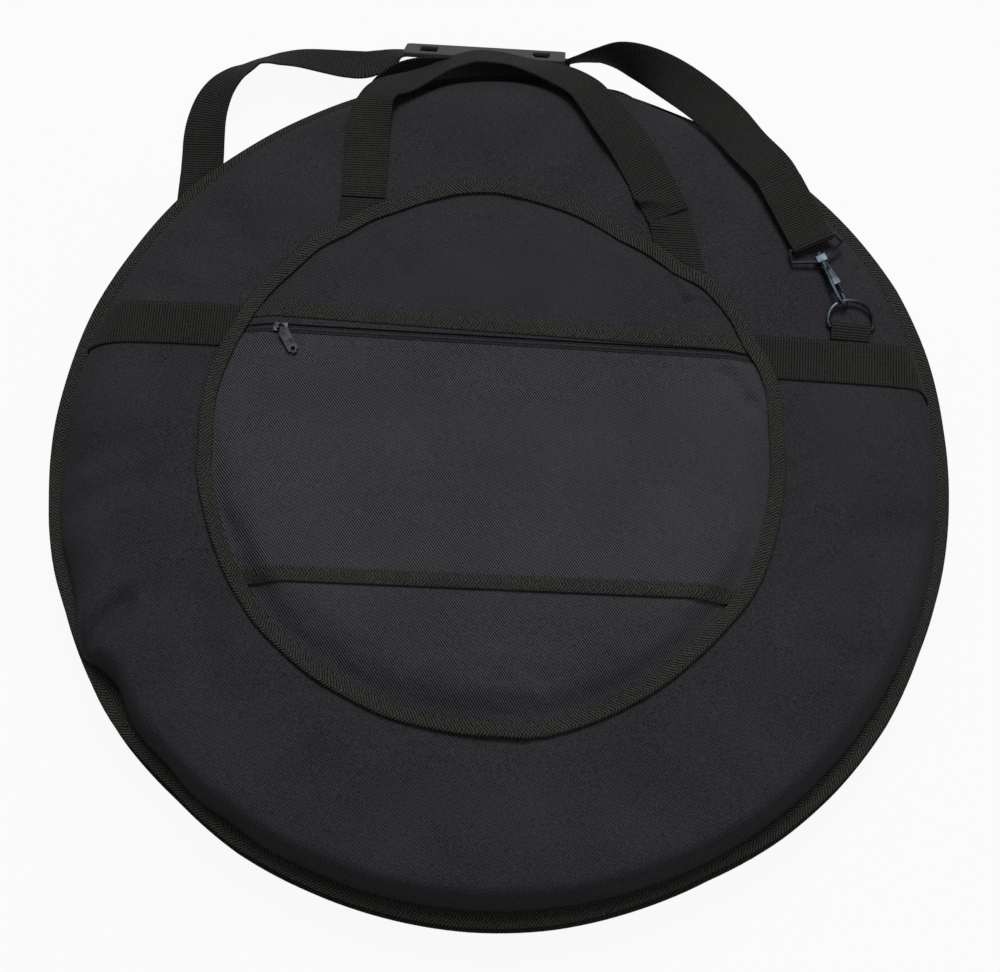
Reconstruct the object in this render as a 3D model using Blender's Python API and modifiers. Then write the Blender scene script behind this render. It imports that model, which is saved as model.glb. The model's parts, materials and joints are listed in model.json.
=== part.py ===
# Round padded cymbal bag, lying on its back with its front pocket up.
# Metres, +Z up, +Y towards the carry handles, +X to the wearer's right of the front face.
# The origin is under the middle of the bag, on the surface that it lies on.

import bpy
import bmesh
import math
import numpy as np
from mathutils import Matrix, Vector

# Main body
WALL_RADIUS = 0.3085          # outside of the side wall, under the bindings
REST_INSET = 0.1085           # wall to the flat middle of the back panel that meets the ground
REST_RADIUS = WALL_RADIUS - REST_INSET
BACK_RISE = 0.0185            # height of the back panel's edge over the ground
TOP_HEIGHT = 0.0715           # height of the flat middle of the front panel
SHOULDER_RUN = 0.0935         # wall to the flat middle of the front panel
FLAT_RADIUS = WALL_RADIUS - SHOULDER_RUN
PANEL_THICK = 0.0055          # outer fabric with its bonded foam
LINING_THICK = 0.0008
GAP = 0.0003                  # clearance between neighbouring pieces
ROUND_STEPS = 72              # facets round the bag
LINING_STEPS = 36
MERGE = 0.00001

# Outer edge tapes
BINDING_SEAM = 0.0040         # how far the tapes reach in under the wall
FRONT_FLANGE = 0.0110         # how far they stand out of it
BACK_FLANGE = 0.0123
BINDING_INNER = WALL_RADIUS - BINDING_SEAM
FRONT_BINDING_OUTER = WALL_RADIUS + FRONT_FLANGE
BACK_BINDING_OUTER = WALL_RADIUS + BACK_FLANGE
BINDING_THICK = 0.0030

# Main zip
ZIP_HALF_ANGLE = 130.0        # degrees of rim each side of the handles that the zip opens
ZIP_STOP_ARC = 1.0            # degrees between the zip's end and the end of its teeth
ZIP_INSET = 0.0021
ZIP_TAPE_RADIUS = WALL_RADIUS - ZIP_INSET
ZIP_TAPE_THICK = 0.0009
ZIP_TAPE_HEIGHT = 0.0049      # visible height of each half
ZIP_COIL_DEPTH = 0.0020
ZIP_COIL_HEIGHT = 0.0026
ZIP_STEPS = 52
SLIDER_PARK_ANGLE = 10.0      # where the two sliders meet when the zip is shut
SLIDER_ARC = 2.1              # degrees of rim that one slider covers
SLIDER_PLATE = 0.0013
SLIDER_PARTING = 0.2          # degrees from where they meet to each of them
WEDGE_ARC = 0.5
WEDGE_CLEAR_ARC = 0.4
WEDGE_HEIGHT = 0.0022
LUG_LENGTH = 0.0018
LUG_WIDTH = 0.0012
LUG_HEIGHT = 0.0030
LUG_SPREAD = 0.0021           # from the middle of the slider to the middle of a lug
PIN_RADIUS = 0.0005
PULL_LENGTH = 0.0280
POCKET_PULL_LENGTH = 0.0230
PULL_WIDTH = 0.0075
PULL_THICK = 0.0014
PULL_EYE_RADIUS = 0.0012
PULL_HOLE_RADIUS = 0.0018
PULL_SWING = 120.0            # degrees

# Fold line of the front panel, where the zip ends
FOLD_INSET = 0.1035
FOLD_Y = FOLD_INSET - WALL_RADIUS

# Round front pocket
POCKET_X = -0.0040
POCKET_Y = 0.0030
POCKET_MARGIN = 0.0160        # flat of the front panel outside the pocket
POCKET_RADIUS = FLAT_RADIUS - POCKET_MARGIN
POCKET_TAPE_WIDTH = 0.0110
POCKET_RISE = 0.0075
POCKET_CLOTH = 0.0012
POCKET_STEPS = 60
POCKET_JOIN_ANGLE = -79.0     # where the edge tape overlaps itself
POCKET_JOIN_LENGTH = 0.0160
POCKET_ZIP_Y = 0.0844
POCKET_ZIP_SLOT = 0.0070
POCKET_ZIP_TAPE = 0.0118
POCKET_COIL_WIDTH = 0.0050
FACING_Y = 0.0963
FACING_WIDTH = 0.0114
FACING_TURN = -1.0            # degrees
STRIP_Y = -0.0947
STRIP_WIDTH = 0.0098
STRIP_TURN = 1.2
POCKET_SLIDER_INSET = 0.0135  # from the pocket's edge tape, along the zip
POCKET_SLIDER_LENGTH = 0.0100
POCKET_PULL_ANGLE = -58.0     # the pull has fallen to this side of the slider
POCKET_PULL_LEAN = 3.0

# Webbing
WEB_WIDTH = 0.0320
WEB_THICK = 0.0016
BAND_Y = 0.0865               # middle of the band across the bag
HANDLE_HALF_SPAN = 0.1110     # handle ends each side of the middle
HANDLE_INSET = 0.1165         # wall to the end of the front handle's stitching
HANDLE_HINGE_Y = WALL_RADIUS - HANDLE_INSET
HANDLE_REACH = 0.1370         # from the hinge to the far side of the front loop
HANDLE_OVER_PAD = 0.0062      # height of the front loop over the shoulder pad
BACK_HANDLE_INSET = 0.1255
BACK_HANDLE_HINGE_Y = WALL_RADIUS - BACK_HANDLE_INSET
BACK_HANDLE_REACH = 0.1410
BACK_HANDLE_RISE = 0.0285     # middle of the back loop, which stands on edge beside the rim
BACK_END_LENGTH = 0.0400

# Ring tabs, rings and snap hooks
TAB_INSET = 0.0670            # wall to the middle of the ring's tab
TAB_X = WALL_RADIUS - TAB_INSET
TAB_WIDTH = 0.0284
RING_BAR_Y = 0.1125
RING_HALF_WIDTH = 0.0163      # to the middle of the wire
RING_CROWN = 0.0200           # bar to crown, wire middles
RING_WIRE = 0.0014
HOOK_LENGTH = 0.0360          # swivel to the bend that holds the ring
HOOK_HALF_WIDTH = 0.0053
HOOK_WIRE = 0.0014
FRONT_HOOK_TILT = 55.0        # turn of the hook's bend about its own length
BACK_HOOK_TILT = -45.0
HOOK_ANGLE = 117.5            # direction from the front ring to the strap
BACK_HOOK_ANGLE = 90.0
LOOP_BAR = 0.0170             # swivel to the bar that carries the strap
LOOP_BAR_HALF = 0.0178
LOOP_SHOULDER = 0.0085
LOOP_SHOULDER_HALF = 0.0200
LOOP_WIRE = 0.0015
SWIVEL_RADIUS = 0.0030
SWIVEL_POST = 0.0013
GATE_PIN = 0.0007              # radius of the pin that the gate turns on
GATE_EYE = 0.0016
CHEEK_THICK = 0.0007
GATE_THICK = 0.0012
STRAP_FOLD = 0.0520           # length of the doubled, sewn strap end

# Shoulder pad
PAD_LENGTH = 0.1230
PAD_WIDTH = 0.0500
PAD_THICK = 0.0034
PAD_WINDOW = 0.0130
PAD_WINDOW_INSET = 0.0120
PAD_X = -0.0335
PAD_TILT = 52.0               # degrees from the ground, leaning towards the rim
PAD_CLEARANCE = 0.0060        # between the rim's back tape and the pad's upper edge
PAD_END_OVERHANG = 0.0040     # how far past the pad the two lengths of strap meet

FOLD_OVERRUN = 0.4000         # half size of the blocks that trim whole panels

# Heights that follow from the sizes above
ZIP_BACK_LOW = BACK_RISE + BINDING_THICK + 2 * GAP
ZIP_BACK_HIGH = ZIP_BACK_LOW + ZIP_TAPE_HEIGHT
ZIP_FRONT_LOW = ZIP_BACK_HIGH + GAP
ZIP_FRONT_HIGH = ZIP_FRONT_LOW + ZIP_TAPE_HEIGHT
FRONT_BINDING_LOW = ZIP_FRONT_HIGH + GAP
FRONT_BINDING_HIGH = FRONT_BINDING_LOW + BINDING_THICK
FRONT_EDGE = FRONT_BINDING_HIGH + GAP
POCKET_TAPE_INNER = POCKET_RADIUS - POCKET_TAPE_WIDTH
POCKET_ZIP_REACH = math.sqrt(POCKET_TAPE_INNER ** 2 - (POCKET_ZIP_Y - POCKET_Y) ** 2)
POCKET_SLIDER_X = POCKET_X + POCKET_SLIDER_INSET - POCKET_ZIP_REACH
FOLD_AXIS_Z = TOP_HEIGHT + GAP
PAD_TOP = PAD_WIDTH * math.sin(math.radians(PAD_TILT)) + PAD_THICK
HANDLE_DROP = TOP_HEIGHT - PAD_TOP - HANDLE_OVER_PAD

# Outline of the back panel's underside: shares of the way out from the flat, and of the rise
BACK_OUTLINE_SHARES = ((0.0, 0.0), (0.30, 0.20), (0.58, 0.50), (0.82, 0.78), (0.95, 0.91), (1.0, 1.0))
# Outline of the front panel's shoulder: shares of the way out, and of the drop from the top
FRONT_OUTLINE_SHARES = ((0.0, 0.0), (0.36, 0.022), (0.64, 0.085), (0.80, 0.20), (0.91, 0.40),
                        (0.98, 0.62), (1.0, 0.82), (1.0, 1.0))
# Outline of the pocket's cloth: shares of its radius inside the tape, and of its rise
POCKET_OUTLINE_SHARES = ((1.0, 0.06), (0.986, 0.58), (0.972, 0.83), (0.95, 0.96), (0.90, 1.0))
# Loop of the front handle: shares of the half span, of the reach and of the drop, then its inner face
FRONT_HANDLE_SHARES = (
    (-1.0, 0.0, -0.03, 0.0, 0.0, -1.0), (-1.0, 0.10, -0.03, 0.0, 0.0, -1.0), (-1.01, 0.45, -0.05, 0.0, 0.0, -1.0),
    (-0.96, 0.67, 0.10, 0.05, -0.15, -1.0), (-0.87, 0.83, 0.36, 0.10, -0.50, -0.85),
    (-0.70, 0.945, 0.70, 0.03, -0.84, -0.55), (-0.46, 0.99, 0.95, 0.0, -0.84, -0.55),
    (-0.20, 1.0, 1.0, 0.0, -0.84, -0.55), (0.06, 0.97, 0.92, -0.02, -0.82, -0.57),
    (0.30, 0.865, 0.58, -0.10, -0.55, -0.83), (0.52, 0.69, 0.17, -0.05, -0.20, -0.98),
    (0.70, 0.485, -0.05, 0.0, 0.0, -1.0), (0.86, 0.30, -0.05, 0.0, 0.0, -1.0), (0.985, 0.12, -0.03, 0.0, 0.0, -1.0),
    (1.0, 0.05, -0.03, 0.0, 0.0, -1.0), (1.0, 0.0, -0.03, 0.0, 0.0, -1.0))
# Loop of the back handle: the same three shares, but of the rise
BACK_HANDLE_SHARES = (
    (-1.0, 0.0, 0.0, 0.0, 0.0, 1.0), (-1.0, 0.10, 0.0, 0.0, 0.0, 1.0), (-1.0, 0.45, 0.08, 0.0, 0.0, 1.0),
    (-1.0, 0.71, 0.20, 0.0, -0.1, 1.0), (-0.986, 0.82, 0.31, 0.1, -0.3, 0.95), (-0.94, 0.897, 0.51, 0.3, -0.62, 0.72),
    (-0.845, 0.947, 0.755, 0.3, -0.87, 0.38), (-0.71, 0.975, 0.93, 0.2, -0.97, 0.15),
    (-0.52, 0.995, 0.99, 0.08, -1.0, 0.02), (-0.22, 1.0, 1.0, 0.0, -1.0, 0.0), (0.05, 1.0, 0.97, 0.0, -1.0, 0.0),
    (0.28, 0.99, 0.86, -0.03, -1.0, 0.0), (0.50, 0.973, 0.70, -0.08, -1.0, 0.02), (0.68, 0.948, 0.61, -0.2, -0.96, 0.18),
    (0.82, 0.915, 0.54, -0.3, -0.82, 0.45), (0.93, 0.865, 0.41, -0.28, -0.55, 0.78),
    (0.985, 0.80, 0.28, -0.1, -0.25, 0.96), (1.0, 0.70, 0.19, 0.0, -0.1, 1.0), (1.0, 0.45, 0.08, 0.0, 0.0, 1.0),
    (1.0, 0.10, 0.0, 0.0, 0.0, 1.0), (1.0, 0.0, 0.0, 0.0, 0.0, 1.0))
# Shoulder strap: shares of the rim's radius, of the bag's height, then its inner face.
# The first table runs from the front clip to the pad, the second from the pad to the back clip.
RIGHT_STRAP_SHARES = (
    (0.4545, 0.8550, 0.945, 0.0, 0.05, -1.0), (0.3709, 0.9167, 0.895, 0.05, 0.12, -0.99),
    (0.3114, 0.9765, 0.810, 0.10, 0.40, -0.90), (0.2400, 1.0250, 0.710, 0.10, 0.82, -0.57),
    (0.1860, 1.0560, 0.535, 0.08, 0.99, 0.10), (0.1350, 1.0690, 0.385, 0.03, 0.90, 0.43))
LEFT_STRAP_SHARES = (
    (-0.4070, 1.0500, 0.262, 0.0, 0.72, 0.70), (-0.4750, 1.0440, 0.252, -0.03, 0.79, 0.62),
    (-0.5715, 1.0435, 0.236, -0.12, 0.88, 0.47), (-0.6548, 1.0272, 0.232, -0.35, 0.85, 0.40),
    (-0.7302, 0.9715, 0.190, -0.55, 0.40, 0.73), (-0.7671, 0.8905, 0.095, -0.22, 0.08, 0.97),
    (-0.7640, 0.8100, 0.062, -0.04, 0.0, 1.0))

COLOURS = {
    "cloth": ((0.020, 0.019, 0.024), 0.85, 0.0),
    "lining": ((0.030, 0.030, 0.032), 0.80, 0.0),
    "tape": ((0.028, 0.030, 0.022), 0.85, 0.0),
    "webbing": ((0.030, 0.032, 0.024), 0.80, 0.0),
    "coil": ((0.012, 0.012, 0.013), 0.45, 0.0),
    "metal": ((0.30, 0.33, 0.38), 0.25, 1.0),
    "pad": ((0.30, 0.33, 0.28), 0.55, 0.0),
}


def clear_scene():
    for item in list(bpy.data.objects):
        bpy.data.objects.remove(item, do_unlink=True)


def new_collection(name):
    collection = bpy.data.collections.new(name)
    bpy.context.scene.collection.children.link(collection)
    return collection


clear_scene()
PARTS = new_collection("cymbal_bag")
CUTTERS = new_collection("cutters")


def material_for(name, kind):
    colour, roughness, metallic = COLOURS[kind]
    material = bpy.data.materials.new(name + "_" + kind)
    material.use_nodes = True
    shader = material.node_tree.nodes["Principled BSDF"]
    shader.inputs["Base Color"].default_value = (*colour, 1.0)
    shader.inputs["Roughness"].default_value = roughness
    shader.inputs["Metallic"].default_value = metallic
    return material


def finish_mesh(name, bm, kind, collection=None, smooth_angle=35.0):
    bmesh.ops.recalc_face_normals(bm, faces=bm.faces)
    mesh = bpy.data.meshes.new(name)
    bm.to_mesh(mesh)
    bm.free()
    item = bpy.data.objects.new(name, mesh)
    (collection or PARTS).objects.link(item)
    if collection is CUTTERS:
        item.hide_render = True
        item.display_type = "WIRE"
        return item
    mesh.materials.append(material_for(name, kind))
    mesh.shade_smooth()
    mesh.set_sharp_from_angle(angle=math.radians(smooth_angle))
    return item


def baked(item):
    # The evaluated mesh replaces the object's own, so that later cuts act on it.
    bpy.context.view_layer.update()
    graph = bpy.context.evaluated_depsgraph_get()
    mesh = bpy.data.meshes.new_from_object(item.evaluated_get(graph))
    item.modifiers.clear()
    item.data = mesh
    return item


def boolean(item, other, operation="DIFFERENCE"):
    modifier = item.modifiers.new("cut", "BOOLEAN")
    modifier.operation = operation
    modifier.object = other
    modifier.solver = "EXACT"
    baked(item)
    bpy.data.objects.remove(other, do_unlink=True)
    bm = bmesh.new()
    bm.from_mesh(item.data)
    bmesh.ops.remove_doubles(bm, verts=bm.verts, dist=MERGE)
    bmesh.ops.dissolve_degenerate(bm, edges=bm.edges, dist=MERGE)
    bm.to_mesh(item.data)
    bm.free()
    return item


def box_mesh(size, middle, turn=None):
    bm = bmesh.new()
    bmesh.ops.create_cube(bm, size=1.0)
    bmesh.ops.scale(bm, vec=Vector(size), verts=bm.verts)
    if turn is not None:
        bmesh.ops.transform(bm, matrix=turn.to_4x4(), verts=bm.verts)
    bmesh.ops.translate(bm, vec=Vector(middle), verts=bm.verts)
    return bm


def box_cutter(size, middle, turn=None):
    return finish_mesh("cutter", box_mesh(size, middle, turn), "cloth", CUTTERS)


def rod_mesh(radius, start, end, sides=12):
    start, end = Vector(start), Vector(end)
    along = end - start
    bm = bmesh.new()
    bmesh.ops.create_cone(bm, cap_ends=True, segments=sides, radius1=radius, radius2=radius,
                          depth=along.length)
    turn = along.to_track_quat("Z", "Y").to_matrix().to_4x4()
    bmesh.ops.transform(bm, matrix=Matrix.Translation((start + end) / 2) @ turn, verts=bm.verts)
    return bm


def turned(name, profile, kind, start=0.0, end=360.0, steps=ROUND_STEPS, closed=False,
           middle=(0.0, 0.0), collection=None):
    # profile holds (radius, height) points. A closed one has no point on the axis.
    bm = bmesh.new()
    first = Matrix.Rotation(math.radians(start), 4, "Z")
    points = [bm.verts.new(first @ Vector((radius, 0.0, height))) for radius, height in profile]
    edges = [bm.edges.new(pair) for pair in zip(points, points[1:])]
    if closed:
        edges.append(bm.edges.new((points[-1], points[0])))
    bmesh.ops.spin(bm, geom=points + edges, cent=(0.0, 0.0, 0.0), axis=(0.0, 0.0, 1.0),
                   angle=math.radians(end - start), steps=steps)
    bmesh.ops.remove_doubles(bm, verts=bm.verts, dist=MERGE)
    rims = [edge for edge in bm.edges if edge.is_boundary]
    if rims:
        bmesh.ops.holes_fill(bm, edges=rims, sides=0)
    bmesh.ops.translate(bm, vec=(middle[0], middle[1], 0.0), verts=bm.verts)
    return finish_mesh(name, bm, kind, collection)


def offset_line(points, distance):
    # Moves an open outline sideways by distance, to its left as it runs.
    moved = []
    for index, (x, y) in enumerate(points):
        before = points[max(index - 1, 0)]
        after = points[min(index + 1, len(points) - 1)]
        sides = []
        for a, b in ((before, (x, y)), ((x, y), after)):
            run = math.hypot(b[0] - a[0], b[1] - a[1])
            if run > 0:
                sides.append((-(b[1] - a[1]) / run, (b[0] - a[0]) / run))
        side = (sum(s[0] for s in sides), sum(s[1] for s in sides))
        length = math.hypot(*side)
        side = (side[0] / length, side[1] / length)
        stretch = side[0] * sides[0][0] + side[1] * sides[0][1]
        moved.append((x + side[0] * distance / stretch, y + side[1] * distance / stretch))
    return moved


def back_outline():
    reach = WALL_RADIUS - REST_RADIUS
    return [(0.0, 0.0)] + [(REST_RADIUS + out * reach, up * BACK_RISE) for out, up in BACK_OUTLINE_SHARES]


def front_outline():
    reach = WALL_RADIUS - FLAT_RADIUS
    drop = TOP_HEIGHT - FRONT_EDGE
    return [(0.0, TOP_HEIGHT)] + [(FLAT_RADIUS + out * reach, TOP_HEIGHT - down * drop)
                                  for out, down in FRONT_OUTLINE_SHARES]


def height_on(outline, radius):
    radii = [point[0] for point in outline]
    heights = [point[1] for point in outline]
    return float(np.interp(radius, radii, heights))


def trimmed(line, height):
    # Ends an outline where it passes a height.
    kept = [line[0]]
    for before, point in zip(line, line[1:]):
        if (before[1] - height) * (point[1] - height) < 0:
            share = (height - before[1]) / (point[1] - before[1])
            kept.append((before[0] + share * (point[0] - before[0]), height))
            return kept
        kept.append(point)
    kept[-1] = (kept[-1][0], height)
    return kept


def layer_profile(outline, depth, thickness, side, height):
    # A layer that starts at a depth behind an outline and ends at a height. side is the layer's side.
    near = outline if depth == 0 else offset_line(outline, side * depth)
    far = offset_line(outline, side * (depth + thickness))
    near[0], far[0] = (0.0, near[0][1]), (0.0, far[0][1])
    return trimmed(near, height) + trimmed(far, height)[::-1]


# Panels and linings

def make_back_panel():
    profile = layer_profile(back_outline(), 0, PANEL_THICK, 1, BACK_RISE)
    panel = turned("back_panel", profile, "cloth")
    return panel


def make_bottom_gusset():
    # Where there is no zip, a strip of padded cloth joins the two panels.
    inner = WALL_RADIUS - PANEL_THICK
    low, high = BACK_RISE + GAP, FRONT_BINDING_LOW - GAP
    wall = ((inner, low), (WALL_RADIUS, low), (WALL_RADIUS, high), (inner, high))
    turned("bottom_gusset", wall, "cloth", 90.0 + ZIP_HALF_ANGLE, 450.0 - ZIP_HALF_ANGLE, 20, True)


def make_linings():
    depth = PANEL_THICK + GAP
    back = layer_profile(back_outline(), depth, LINING_THICK, 1, BACK_RISE)
    turned("back_lining", back, "lining", steps=LINING_STEPS)
    front = layer_profile(front_outline(), depth, LINING_THICK, -1, FRONT_EDGE)
    for name, side in (("front_lining_lid", 1), ("front_lining_base", -1)):
        keep_side(turned(name, front, "lining", steps=LINING_STEPS), side)


def keep_side(piece, side):
    # side +1 keeps what opens with the zip, -1 what stays below the fold line.
    middle_y = FOLD_Y + side * (GAP / 2 - FOLD_OVERRUN)
    size = (2 * FOLD_OVERRUN, 2 * FOLD_OVERRUN, 2 * FOLD_OVERRUN)
    boolean(piece, box_cutter(size, (0.0, middle_y, 0.0)))


def make_front_panels():
    profile = layer_profile(front_outline(), 0, PANEL_THICK, -1, FRONT_EDGE)
    for name, side in (("front_panel_lid", 1), ("front_panel_base", -1)):
        keep_side(turned(name, profile, "cloth"), side)


def ring_section(inner, outer, low, high):
    # A folded tape: a flat strip with a rounded outer edge.
    middle = (low + high) / 2
    edge = (high - low) / 2
    return ((inner, low), (outer - edge, low), (outer, middle), (outer - edge, high), (inner, high))


def make_bindings():
    section = ring_section(BINDING_INNER, FRONT_BINDING_OUTER, FRONT_BINDING_LOW, FRONT_BINDING_HIGH)
    for name, side in (("front_binding_lid", 1), ("front_binding_base", -1)):
        keep_side(turned(name, section, "tape", closed=True), side)
    low = BACK_RISE + GAP
    section = ring_section(BINDING_INNER, BACK_BINDING_OUTER, low, low + BINDING_THICK)
    turned("back_binding", section, "tape", 90.0 - ZIP_HALF_ANGLE + ZIP_STOP_ARC, 90.0 + ZIP_HALF_ANGLE - ZIP_STOP_ARC,
           ZIP_STEPS, True)


# Main zip

def zip_section(edge, mouth):
    # The coil lies along the mouth, on the outer face of the tape.
    coil = mouth + math.copysign(ZIP_COIL_HEIGHT, edge - mouth)
    outer = ZIP_TAPE_RADIUS + ZIP_TAPE_THICK
    crown = outer + ZIP_COIL_DEPTH
    return ((ZIP_TAPE_RADIUS, edge), (outer, edge), (outer, coil), (crown, coil), (crown, mouth),
            (ZIP_TAPE_RADIUS, mouth))


def make_zip_tapes():
    start = 90.0 - ZIP_HALF_ANGLE + ZIP_STOP_ARC
    end = 90.0 + ZIP_HALF_ANGLE - ZIP_STOP_ARC
    back = turned("zip_tape_back", zip_section(ZIP_BACK_LOW, ZIP_BACK_HIGH), "coil", start, end,
                  ZIP_STEPS, True)
    front = turned("zip_tape_front", zip_section(ZIP_FRONT_HIGH, ZIP_FRONT_LOW), "coil", start, end,
                   ZIP_STEPS, True)
    # The two halves part round the wedges of the two sliders.
    mouth = (ZIP_BACK_HIGH + ZIP_FRONT_LOW) / 2
    length = 2 * math.radians(WEDGE_ARC + WEDGE_CLEAR_ARC) * WALL_RADIUS
    turn = Matrix.Rotation(math.radians(SLIDER_PARK_ANGLE), 3, "Z")
    for tape in (back, front):
        size = (WALL_RADIUS / 4, length, WEDGE_HEIGHT + 4 * GAP)
        boolean(tape, box_cutter(size, turn @ Vector((ZIP_TAPE_RADIUS, 0.0, mouth)), turn))


def make_main_slider(letter, direction):
    # direction +1 leads round towards the handles, -1 the short way to the fold line.
    mouth = (ZIP_BACK_HIGH + ZIP_FRONT_LOW) / 2
    half = ZIP_TAPE_HEIGHT - GAP
    near = SLIDER_PARK_ANGLE + direction * SLIDER_PARTING
    far = near + direction * SLIDER_ARC
    wedge = near + direction * WEDGE_ARC
    crown = ZIP_TAPE_RADIUS + ZIP_TAPE_THICK + ZIP_COIL_DEPTH + GAP
    inside = ZIP_TAPE_RADIUS - GAP
    plate = ((crown, mouth - half), (crown + SLIDER_PLATE, mouth - half),
             (crown + SLIDER_PLATE, mouth + half), (crown, mouth + half))
    slider = turned("main_slider_" + letter, plate, "metal", min(near, far), max(near, far), 3, True)
    under = ((inside - SLIDER_PLATE, mouth - half), (inside, mouth - half), (inside, mouth + half),
             (inside - SLIDER_PLATE, mouth + half))
    boolean(slider, turned("under", under, "metal", min(near, far), max(near, far), 3, True,
                           collection=CUTTERS), "UNION")
    wedge_half = WEDGE_HEIGHT / 2
    post = ((inside - SLIDER_PLATE / 2, mouth - wedge_half), (crown + SLIDER_PLATE / 2, mouth - wedge_half),
            (crown + SLIDER_PLATE / 2, mouth + wedge_half), (inside - SLIDER_PLATE / 2, mouth + wedge_half))
    boolean(slider, turned("wedge", post, "metal", min(near, wedge), max(near, wedge), 2, True,
                           collection=CUTTERS), "UNION")
    # Two lugs and a pin on the outer plate hold the pull.
    arch = near + direction * SLIDER_ARC * 0.7
    turn = Matrix.Rotation(math.radians(arch), 3, "Z")
    face = turn @ Vector((crown + SLIDER_PLATE, 0.0, mouth))
    outward = turn @ Vector((1.0, 0.0, 0.0))
    along = turn @ Vector((0.0, direction, 0.0))
    hinge = add_lugs(slider, face, along, outward)
    # The pull lies along the side of the bag, away from the other slider.
    make_pull("main_pull_" + letter, hinge, along, outward, PULL_LENGTH)


def axes_matrix(along, up, place):
    # Local X along, Z up.
    across = up.cross(along)
    return Matrix.Translation(place) @ Matrix((along, across, up)).transposed().to_4x4()


def add_lugs(slider, face, along, up):
    frame = axes_matrix(along, up, face)
    pin_height = LUG_HEIGHT - LUG_LENGTH / 2
    for side in (-1, 1):
        bm = box_mesh((LUG_LENGTH, LUG_WIDTH, LUG_HEIGHT), (0.0, side * LUG_SPREAD, LUG_HEIGHT / 2 - GAP))
        lug = finish_mesh("lug", bm, "metal", CUTTERS)
        lug.data.transform(frame)
        boolean(slider, lug, "UNION")
    reach = LUG_SPREAD + LUG_WIDTH / 4
    pin = finish_mesh("pin", rod_mesh(PIN_RADIUS, (0.0, -reach, pin_height), (0.0, reach, pin_height), 8),
                      "metal", CUTTERS)
    pin.data.transform(frame)
    boolean(slider, pin, "UNION")
    return frame @ Vector((0.0, 0.0, pin_height))


def make_pull(name, hinge, along, up, length):
    # A flat tab with an eye round the slider's pin and a holed end.
    half_eye = LUG_SPREAD - LUG_WIDTH / 2 - GAP
    neck = LUG_LENGTH / 2 + PULL_EYE_RADIUS
    bm = box_mesh((length - neck, PULL_WIDTH, PULL_THICK), (neck + (length - neck) / 2, 0.0, 0.0))
    bmesh.ops.bevel(bm, geom=[edge for edge in bm.edges
                              if abs(edge.verts[0].co.z - edge.verts[1].co.z) > PULL_THICK / 2],
                    offset=PULL_WIDTH * 0.28, segments=2, affect="EDGES")
    pull = finish_mesh(name, bm, "metal")
    hole_x = length - PULL_WIDTH * 0.45
    hole = rod_mesh(PULL_HOLE_RADIUS, (hole_x, 0.0, -PULL_THICK), (hole_x, 0.0, PULL_THICK))
    boolean(pull, finish_mesh("hole", hole, "metal", CUTTERS))
    boolean(pull, box_cutter((neck * 1.2, 2 * half_eye, PULL_THICK * 0.7), (neck * 0.7, 0.0, 0.0)), "UNION")
    eye = rod_mesh(PULL_EYE_RADIUS, (0.0, -half_eye, 0.0), (0.0, half_eye, 0.0), 12)
    boolean(pull, finish_mesh("eye", eye, "metal", CUTTERS), "UNION")
    bore = rod_mesh(PIN_RADIUS + GAP * 0.7, (0.0, -2 * half_eye, 0.0), (0.0, 2 * half_eye, 0.0), 12)
    boolean(pull, finish_mesh("bore", bore, "metal", CUTTERS))
    pull.data.transform(axes_matrix(along, up, hinge))
    set_origin(pull, hinge)
    return pull


def set_origin(item, place):
    item.data.transform(Matrix.Translation(-Vector(place)))
    item.location = Vector(place)


# Pocket

def pocket_outline():
    inside = POCKET_TAPE_INNER - GAP
    line = [(0.0, TOP_HEIGHT + POCKET_RISE)]
    line += [(inside * out, TOP_HEIGHT + POCKET_RISE * up) for out, up in reversed(POCKET_OUTLINE_SHARES)]
    return line


def pocket_profile():
    outer = pocket_outline()
    inner = offset_line(outer, -POCKET_CLOTH)
    inner[0] = (0.0, inner[0][1])
    floor = TOP_HEIGHT + GAP
    return [(radius, max(height, floor)) for radius, height in outer + inner[::-1]]


def pocket_half_chord(y, radius):
    return math.sqrt(radius ** 2 - (y - POCKET_Y) ** 2)


def pocket_sheet(name, middle_y, width, turn, thickness, lift, kind, reach):
    # A strip across the pocket that follows its cloth out to a radius. lift is to the strip's middle.
    outline = pocket_outline()
    radii = [point[0] for point in outline[1:] if point[0] < reach - GAP] + [reach]
    ends = [(-1, radius) for radius in reversed(radii)] + [(1, radius) for radius in radii]
    slope = math.tan(math.radians(turn))
    places = []
    for side, radius in ends:
        row = []
        for across in (-0.5, 0.0, 0.5):
            x, y = 0.0, middle_y + across * width
            for step in range(4):
                x = side * pocket_half_chord(y, radius)
                y = middle_y + across * width + slope * x
            row.append((POCKET_X + x, y, height_on(outline, radius) + lift))
        places.append(row)
    return grid_sheet(name, places, thickness, kind)


def slab_cutter(y, turn, side, depth):
    # Removes everything beyond a line across the pocket: side +1 above it, -1 below it.
    rotation = Matrix.Rotation(math.radians(turn), 3, "Z")
    middle = rotation @ Vector((0.0, side * depth / 2, 0.0)) + Vector((0.0, y, TOP_HEIGHT))
    return box_cutter((2 * FOLD_OVERRUN, depth, POCKET_RISE * 4), middle, rotation)


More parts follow.
